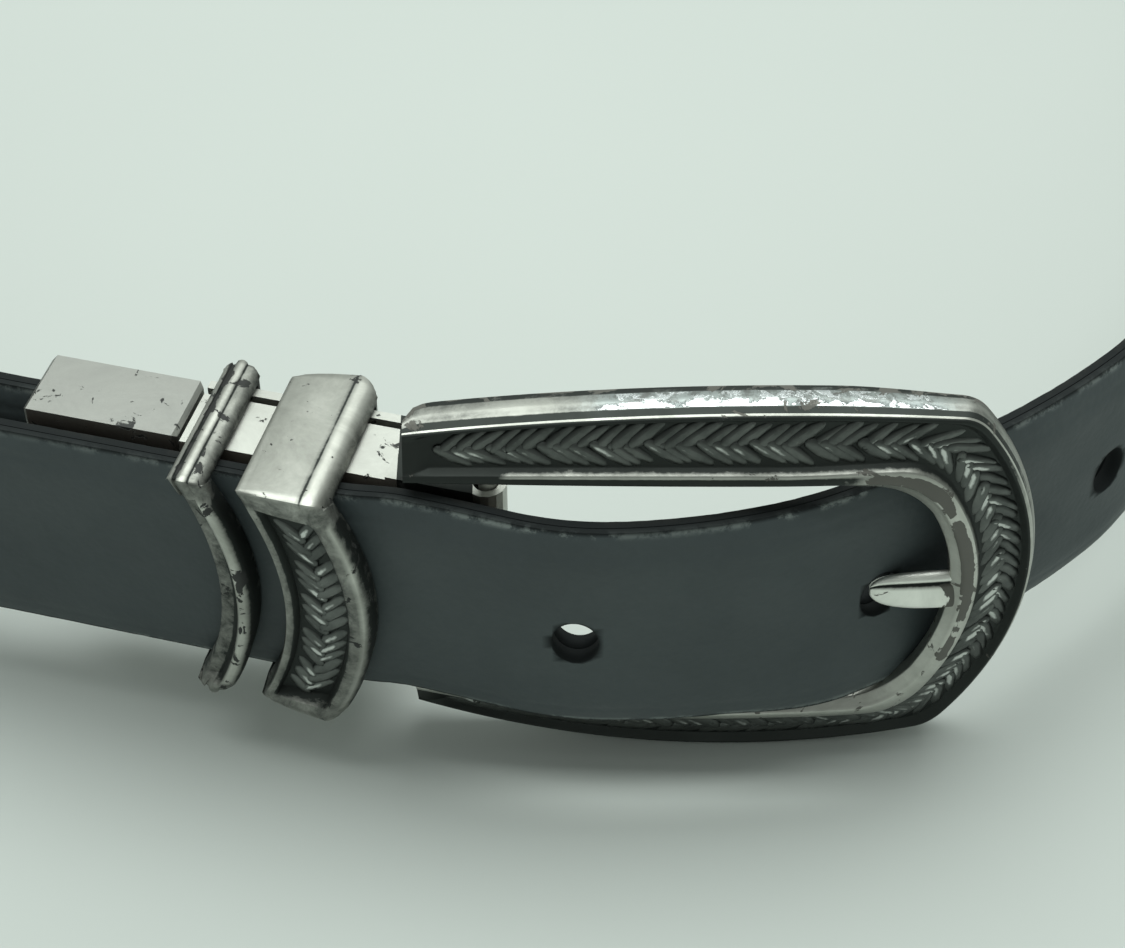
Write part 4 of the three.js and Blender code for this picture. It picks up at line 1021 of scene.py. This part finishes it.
# %% The node tree that lays strands
def laying_tree():
    """Puts the strand on every point, turned and stretched by the point's own values."""
    tree = bpy.data.node_groups.new("lay_strands", "GeometryNodeTree")
    kinds = {
        "Geometry": "Geometry", "Strand": "Object", "Fullness": "Float", "Unevenness": "Float", "Seed": "Int",
        "Finish": "Material",
    }
    for name, kind in kinds.items():
        tree.interface.new_socket(name, in_out="INPUT", socket_type="NodeSocket" + kind)
    tree.interface.new_socket("Geometry", in_out="OUTPUT", socket_type="NodeSocketGeometry")
    new, link = tree.nodes.new, tree.links.new
    given, result = new("NodeGroupInput"), new("NodeGroupOutput")

    def named(name):
        node = new("GeometryNodeInputNamedAttribute")
        node.data_type = "FLOAT_VECTOR"
        node.inputs["Name"].default_value = name
        return node.outputs["Attribute"]

    face_along = new("FunctionNodeAlignRotationToVector")
    face_along.axis = "X"
    link(named("direction"), face_along.inputs["Vector"])
    face_out = new("FunctionNodeAlignRotationToVector")
    face_out.axis, face_out.pivot_axis = "Z", "X"
    link(face_along.outputs["Rotation"], face_out.inputs["Rotation"])
    link(named("outward"), face_out.inputs["Vector"])
    chance = new("FunctionNodeRandomValue")
    link(given.outputs["Seed"], chance.inputs["Seed"])
    chance.inputs[2].default_value, chance.inputs[3].default_value = -1.0, 1.0
    uneven = new("ShaderNodeMath")
    uneven.operation = "MULTIPLY_ADD"
    link(chance.outputs[1], uneven.inputs[0])
    link(given.outputs["Unevenness"], uneven.inputs[1])
    link(given.outputs["Fullness"], uneven.inputs[2])
    scaled = new("ShaderNodeVectorMath")
    scaled.operation = "SCALE"
    link(named("size"), scaled.inputs[0])
    link(uneven.outputs[0], scaled.inputs["Scale"])
    strand = new("GeometryNodeObjectInfo")
    link(given.outputs["Strand"], strand.inputs["Object"])
    lay = new("GeometryNodeInstanceOnPoints")
    link(given.outputs["Geometry"], lay.inputs["Points"])
    link(strand.outputs["Geometry"], lay.inputs["Instance"])
    link(face_out.outputs["Rotation"], lay.inputs["Rotation"])
    link(scaled.outputs[0], lay.inputs["Scale"])
    real = new("GeometryNodeRealizeInstances")
    link(lay.outputs["Instances"], real.inputs["Geometry"])
    coat = new("GeometryNodeSetMaterial")
    link(real.outputs["Geometry"], coat.inputs["Geometry"])
    link(given.outputs["Finish"], coat.inputs["Material"])
    link(coat.outputs["Geometry"], result.inputs["Geometry"])
    return tree


def lay_strands(points, name, strand, tree, seed):
    """The braid as a plain mesh, from its points and the tree."""
    inputs = {"Strand": strand, "Finish": strand_silver, "Fullness": 1.0, "Unevenness": 0.08, "Seed": seed}
    modifier = points.modifiers.new("lay", "NODES")
    modifier.node_group = tree
    sockets = {item.name: item.identifier for item in tree.interface.items_tree if item.in_out == "INPUT"}
    for key, value in inputs.items():
        modifier[sockets[key]] = value
    piece = evaluated_copy(points, name)
    for polygon in piece.data.polygons:
        polygon.use_smooth = True
    return piece


# %% [markdown]
# ### Braid on the frame
#
# A surface function says where a place in the channel is: how far along it, how far across it, and
# how high above its floor.


# %% Laying the frame's braid
def distance_to(line):
    """How far each station of the ring's middle line is from another line."""
    along = distances(line)
    at = np.arange(0, along[-1], 0.1)
    close = np.column_stack([np.interp(at, along, line[:, k]) for k in (0, 1)])
    return np.linalg.norm(ring_middle[:, None] - close[None], axis=2).min(axis=1)


STRANDS_START = CHANNEL_END * 1.6
ring_tangent = np.gradient(ring_middle, ring_along, axis=0)
ring_tangent /= np.linalg.norm(ring_tangent, axis=1, keepdims=True)
ring_out = np.column_stack([-ring_tangent[:, 1], ring_tangent[:, 0]])
ring_width = distance_to(inside) + distance_to(outside)


def ring_surface(along, share, lift):
    """A place in the frame's channel, in the model's millimetres."""
    at = along + STRANDS_START
    here = np.array([np.interp(at, ring_along, ring_middle[:, k]) for k in (0, 1)])
    out = np.array([np.interp(at, ring_along, ring_out[:, k]) for k in (0, 1)])
    lip = rim_share(here[0])
    start = lip + EASE
    across = start + (1 - RIDGE_SHARE - OUTER_EASE - start) * share
    floor = FACE_SLOPE * (lip + (0.8 - lip) * share) + CHANNEL_DEPTH
    p = here + out * (across - CHANNEL_MIDDLE) * np.interp(at, ring_along, ring_width)
    return np.array([p[0], frame_bow(p[0]) + floor - lift, FRAME_MIDDLE_Z + p[1]]) + OFFSET


def frame_shine(x, side):
    """Few painted highlight strokes on the upper leg's lower strands, many at the round end."""
    leg = 0.75 if side < 0 else 0.35
    return leg + (1.3 - leg) * eased(x - OFFSET[0], 36, 48)


strand = strand_shape()
tree = laying_tree()
points = strand_points("frame_points", ring_surface, ring_along[-1] - 2 * STRANDS_START, 3.0, frame_shine)
frame_braid = lay_strands(points, "frame_braid", strand, tree, seed=7)
finish_piece(frame_braid)
print("Frame braid:", len(frame_braid.data.polygons), "faces")

# %% [markdown]
# ## The keepers
#
# A keeper is a closed band round the strap and the carrier. Its front plate bows to the right. The
# narrow one has a groove and a rounded rib; the wide one has a sunken panel with the same braid. The
# profile across the band is drawn as a short table and smoothed.

# %% Keeper profiles
KEEPER_WIDTHS = {"plain": 3.5, "braided": 8.4}
KEEPER_BOW = 3.5
KEEPER_GAP = 3.0
STRAP_MIDDLE_Z = CLAMP_LIFT + STRAP_WIDTH / 2
KEEPER_PLAY = 0.3
KEEPER_FRONT_WALL, KEEPER_WALL = 2.1, 1.1
CARRIER_DEPTH, BACK_SLOT, BACK_PLATE = 6.5, 0.8, 1.0
KEEPER_INSIDE = {
    "front": -STRAP_THICKNESS / 2 - KEEPER_PLAY,
    "back": CARRIER_FRONT + CARRIER_DEPTH + BACK_SLOT + BACK_PLATE + CLEARANCE,
    "low": STRAP_MIDDLE_Z - STRAP_WIDTH / 2 - KEEPER_PLAY,
    "high": STRAP_MIDDLE_Z + STRAP_WIDTH / 2 + KEEPER_PLAY,
}
KEEPER_OUTSIDE = {
    "front": KEEPER_INSIDE["front"] - KEEPER_FRONT_WALL,
    "back": KEEPER_INSIDE["back"] + KEEPER_WALL,
    "low": KEEPER_INSIDE["low"] - KEEPER_WALL,
    "high": KEEPER_INSIDE["high"] + KEEPER_WALL,
}
SPAN = KEEPER_OUTSIDE["high"] - KEEPER_OUTSIDE["low"]
# across the band, rise on its bars and on its front plate, recess on the bars, flake, recess on the plate
PLAIN_PROFILE = [
    (0, -0.6, -0.9, 0.3, 0.3, 0.45), (0.06, -0.2, -0.75, 0.1, 0.2, 0.42), (0.14, 0.05, -0.72, 0.1, 0.2, 0.44),
    (0.2, 0.12, -0.7, 0.3, 0.4, 0.44), (0.23, -0.02, -0.7, 1, 0.6, 0.44), (0.3, 0.06, -0.7, 0.9, 0.6, 0.45),
    (0.36, 0.34, -0.7, 0.25, 0.4, 0.45), (0.45, 0.42, -0.72, 0.05, 0.1, 1), (0.5, 0.42, -0.5, 0, 0.1, 1),
    (0.55, 0.38, 0.1, 0.1, 0.1, 0.7), (0.6, 0.3, 0.4, 0.2, 0.2, 0.1), (0.64, 0.16, 0.5, 0.9, 0.2, 0),
    (0.68, 0.16, 0.54, 0.3, 0.3, 0), (0.8, 0.1, 0.5, 0.3, 0.3, 0.05), (0.9, -0.15, 0.3, 0.35, 0.2, 0.35),
    (0.96, -0.4, -0.1, 0.42, 0.1, 0.8), (1, -0.7, -0.6, 0.5, 0, 1),
]
BRAIDED_PROFILE = [
    (0, -0.35, -0.35, 0.5, 0.1, 0.6), (0.02, -0.1, -0.02, 0.1, 0.1, 0.3), (0.06, 0, 0.02, 0.1, 0, 0.34),
    (0.1, 0.08, 0.02, 0.1, 0, 0.42), (0.12, 0.12, -0.1, 0.1, 0, 0.9), (0.15, 0.2, -0.75, 0.1, 0, 1),
    (0.3, 0.4, -0.75, 0.1, 0, 1), (0.45, 0.55, -0.75, 0.1, 0, 1), (0.6, 0.66, -0.75, 0.1, 0, 1),
    (0.7, 0.73, -0.75, 0.15, 0, 1), (0.735, 0.75, -0.1, 0.35, 0, 0.95), (0.755, 0.75, 0.4, 0.7, 0.2, 0.7),
    (0.775, 0.8, 0.5, 0.2, 0.1, 0.45), (0.82, 0.74, 0.56, 0, 0, 0.4), (0.88, 0.55, 0.5, 0, 0, 0.36),
    (0.93, 0.28, 0.32, 0.1, 0, 0.05), (0.97, -0.1, 0.05, 0.3, 0, 0.4), (1, -0.7, -0.7, 0.45, 0, 0.8),
]
PANEL_TOP, PANEL_BOTTOM = 2.2, 1.2
PANEL_LEFT, PANEL_RIGHT = 0.17, 0.72
PANEL_SOFTNESS = 0.25
OUTER_CORNER, INNER_CORNER = 0.4, 0.3
FRONT_ROWS, CORNER_ROWS = 44, 9


def keeper_loop(box, radius):
    """Points round a rounded box with their outward directions: up the front, then over and down."""
    points = []
    straight = box["high"] - box["low"] - 2 * radius
    for share in np.linspace(0, 1, FRONT_ROWS):
        points.append((box["front"], box["low"] + radius + share * straight, -1, 0))
    corners = [
        (box["front"] + radius, box["high"] - radius, 180), (box["back"] - radius, box["high"] - radius, 90),
        (box["back"] - radius, box["low"] + radius, 0), (box["front"] + radius, box["low"] + radius, -90),
    ]
    for y, z, start in corners:
        for i in range(CORNER_ROWS):
            a = math.radians(start - 90 * i / (CORNER_ROWS - 1))
            points.append((y + radius * math.cos(a), z + radius * math.sin(a), math.cos(a), math.sin(a)))
    return np.array(points)


def keeper_shift(share):
    """How far the front plate bows sideways, at a share of its height."""
    return KEEPER_BOW * (1 - (2 * share - 1) ** 2)


def clamp_to_model(p):
    """A point in the clamp's frame, in the model's millimetres."""
    xy = clamp_point(p[0], p[1])
    return np.array([xy[0], xy[1], p[2]]) + OFFSET


def panel_edge(distance, edge):
    return eased(distance, edge - PANEL_SOFTNESS, edge + PANEL_SOFTNESS)


def keeper_band(name, width, profile, left):
    """A keeper as a closed band, its profile going from that of its bars to that of its front plate."""
    sections, marks = [], []
    loops = zip(keeper_loop(KEEPER_OUTSIDE, OUTER_CORNER), keeper_loop(KEEPER_INSIDE, INNER_CORNER))
    for (y, z, out_y, out_z), (inner_y, inner_z, _, _) in loops:
        height = z - KEEPER_OUTSIDE["low"]
        on_front = 1 - eased(y, KEEPER_OUTSIDE["front"] + 0.3, KEEPER_INSIDE["front"])
        shift = left + keeper_shift(height / SPAN) * on_front
        on_panel = panel_edge(SPAN - height, PANEL_TOP) * panel_edge(height, PANEL_BOTTOM) * on_front
        facing = eased(-out_y, 0.5, 0.95)
        square = max(abs(out_y), abs(out_z))
        row = []
        for across, bars, front, deep, chip, plate_deep in profile:
            rise = (bars + (front - bars) * on_panel) / square
            row.append((shift + across * width, y + rise * out_y, z + rise * out_z))
            flange = 0.4 if on_panel < 0.5 else plate_deep
            marks.append((deep + (flange - deep) * facing, chip * (1 - 0.8 * facing * (across < 0.5))))
        row += [(shift + a * width, inner_y, inner_z) for a in (1, 0)]
        marks += [(0.6, 0.2), (0.6, 0.2)]
        sections.append([clamp_to_model(p) for p in row])
    verts, faces = skin(np.array(sections), closed=True)
    recess_and_shade, flake = zip(*marks)
    return to_object(name, verts, faces, {"recess_and_shade": recess_and_shade, "flake": flake})


plain_keeper = keeper_band("keeper_plain_band", KEEPER_WIDTHS["plain"], PLAIN_PROFILE, 0)
finish_piece(plain_keeper, keeper_plate)
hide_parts("keeper_plain")
BRAIDED_LEFT = KEEPER_WIDTHS["plain"] + KEEPER_GAP
wide_keeper = keeper_band("keeper_braided_band", KEEPER_WIDTHS["braided"], BRAIDED_PROFILE, BRAIDED_LEFT)
finish_piece(wide_keeper, keeper_plate)
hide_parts("keeper_braided")


# %% Laying the keeper's braid
PANEL_DEPTH = 0.75
PANEL_LENGTH = SPAN - PANEL_TOP - PANEL_BOTTOM - 0.1


def panel_surface(along, share, lift):
    """A place in the keeper's panel, in the model's millimetres."""
    height = PANEL_BOTTOM + along
    across = (PANEL_LEFT + (PANEL_RIGHT - PANEL_LEFT) * share) * KEEPER_WIDTHS["braided"]
    x = BRAIDED_LEFT + keeper_shift(height / SPAN) + across
    return clamp_to_model((x, KEEPER_OUTSIDE["front"] + PANEL_DEPTH - lift, KEEPER_OUTSIDE["low"] + height))


def panel_shine(x, side):
    """The same on every strand: painted highlights all over the keeper's panel."""
    return 1.2


points = strand_points("keeper_points", panel_surface, PANEL_LENGTH, 2.1, panel_shine, first=0.2)
keeper_braid = lay_strands(points, "keeper_braid", strand, tree, seed=11)
finish_piece(keeper_braid)
bpy.data.objects.remove(strand)
print("Keeper braid:", len(keeper_braid.data.polygons), "faces")

# %% [markdown]
# ## The pieces that stay
#
# The clamp block, the post and the carrier already have their true shape. They keep their solids and
# only get a finish.

# %% Finishes for the solids that stay
for name, finish in (("clamp_block", satin), ("keeper_carrier", strip_silver), ("swivel_post", dark_steel)):
    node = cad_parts[name]
    node.data.materials.clear()
    node.data.materials.append(finish)

# %% [markdown]
# ## Floor and light
#
# The photo was taken on a pale sheet in soft light from above and behind, so that the tops of the
# metal shine and the front faces stay dark. One large lamp does that, and a pale sky fills the rest.


# %% Floor
def make_floor():
    """A wide flat sheet, in a pale tint that varies a little."""
    half = 1500
    corners = [(-half, -half, 0), (half, -half, 0), (half, half, 0), (-half, half, 0)]
    floor = to_object("floor", corners, [(0, 1, 2, 3)])
    r = Recipe("pale_sheet")
    tint = r.mix(r.noise(9.0, 3.0, 0.5), (0.53, 0.568, 0.542), (0.57, 0.61, 0.582))
    floor.data.materials.append(r.finish(Base_Color=tint, Roughness=0.75))


make_floor()


# %% Light
def area_lamp(name, place, aim, size, power, colour):
    """A flat lamp of two side lengths in metres, turned to its aim."""
    data = bpy.data.lights.new(name, "AREA")
    data.shape, data.size, data.size_y = "RECTANGLE", size[0], size[1]
    data.energy, data.color = power, colour
    lamp = placed(name, data)
    lamp.location = Vector(place)
    lamp.rotation_euler = (Vector(aim) - Vector(place)).to_track_quat("-Z", "Y").to_euler()


def soft_room():
    """A sky that is pale behind and above the belt, and dim on the photographer's side."""
    world = bpy.data.worlds.new("soft_room")
    world.use_nodes = True
    tree = world.node_tree
    direction = tree.nodes.new("ShaderNodeTexCoord")
    parts = tree.nodes.new("ShaderNodeSeparateXYZ")
    side = tree.nodes.new("ShaderNodeMapRange")
    side.inputs["From Min"].default_value, side.inputs["From Max"].default_value = -0.6, 0.5
    side.inputs["To Min"].default_value, side.inputs["To Max"].default_value = 0.35, 0.63
    tree.links.new(direction.outputs["Generated"], parts.inputs[0])
    tree.links.new(parts.outputs["Y"], side.inputs["Value"])
    tree.links.new(side.outputs["Result"], tree.nodes["Background"].inputs["Strength"])
    tree.nodes["Background"].inputs["Color"].default_value = (0.88, 0.96, 0.91, 1)
    return world


area_lamp("window", (0.0, 0.04, 0.6), (0.0, -0.1, 0.0), (0.9, 0.46), 4.25, (0.95, 1.0, 0.97))
bpy.context.scene.world = soft_room()
bpy.context.scene.view_settings.view_transform = "Standard"
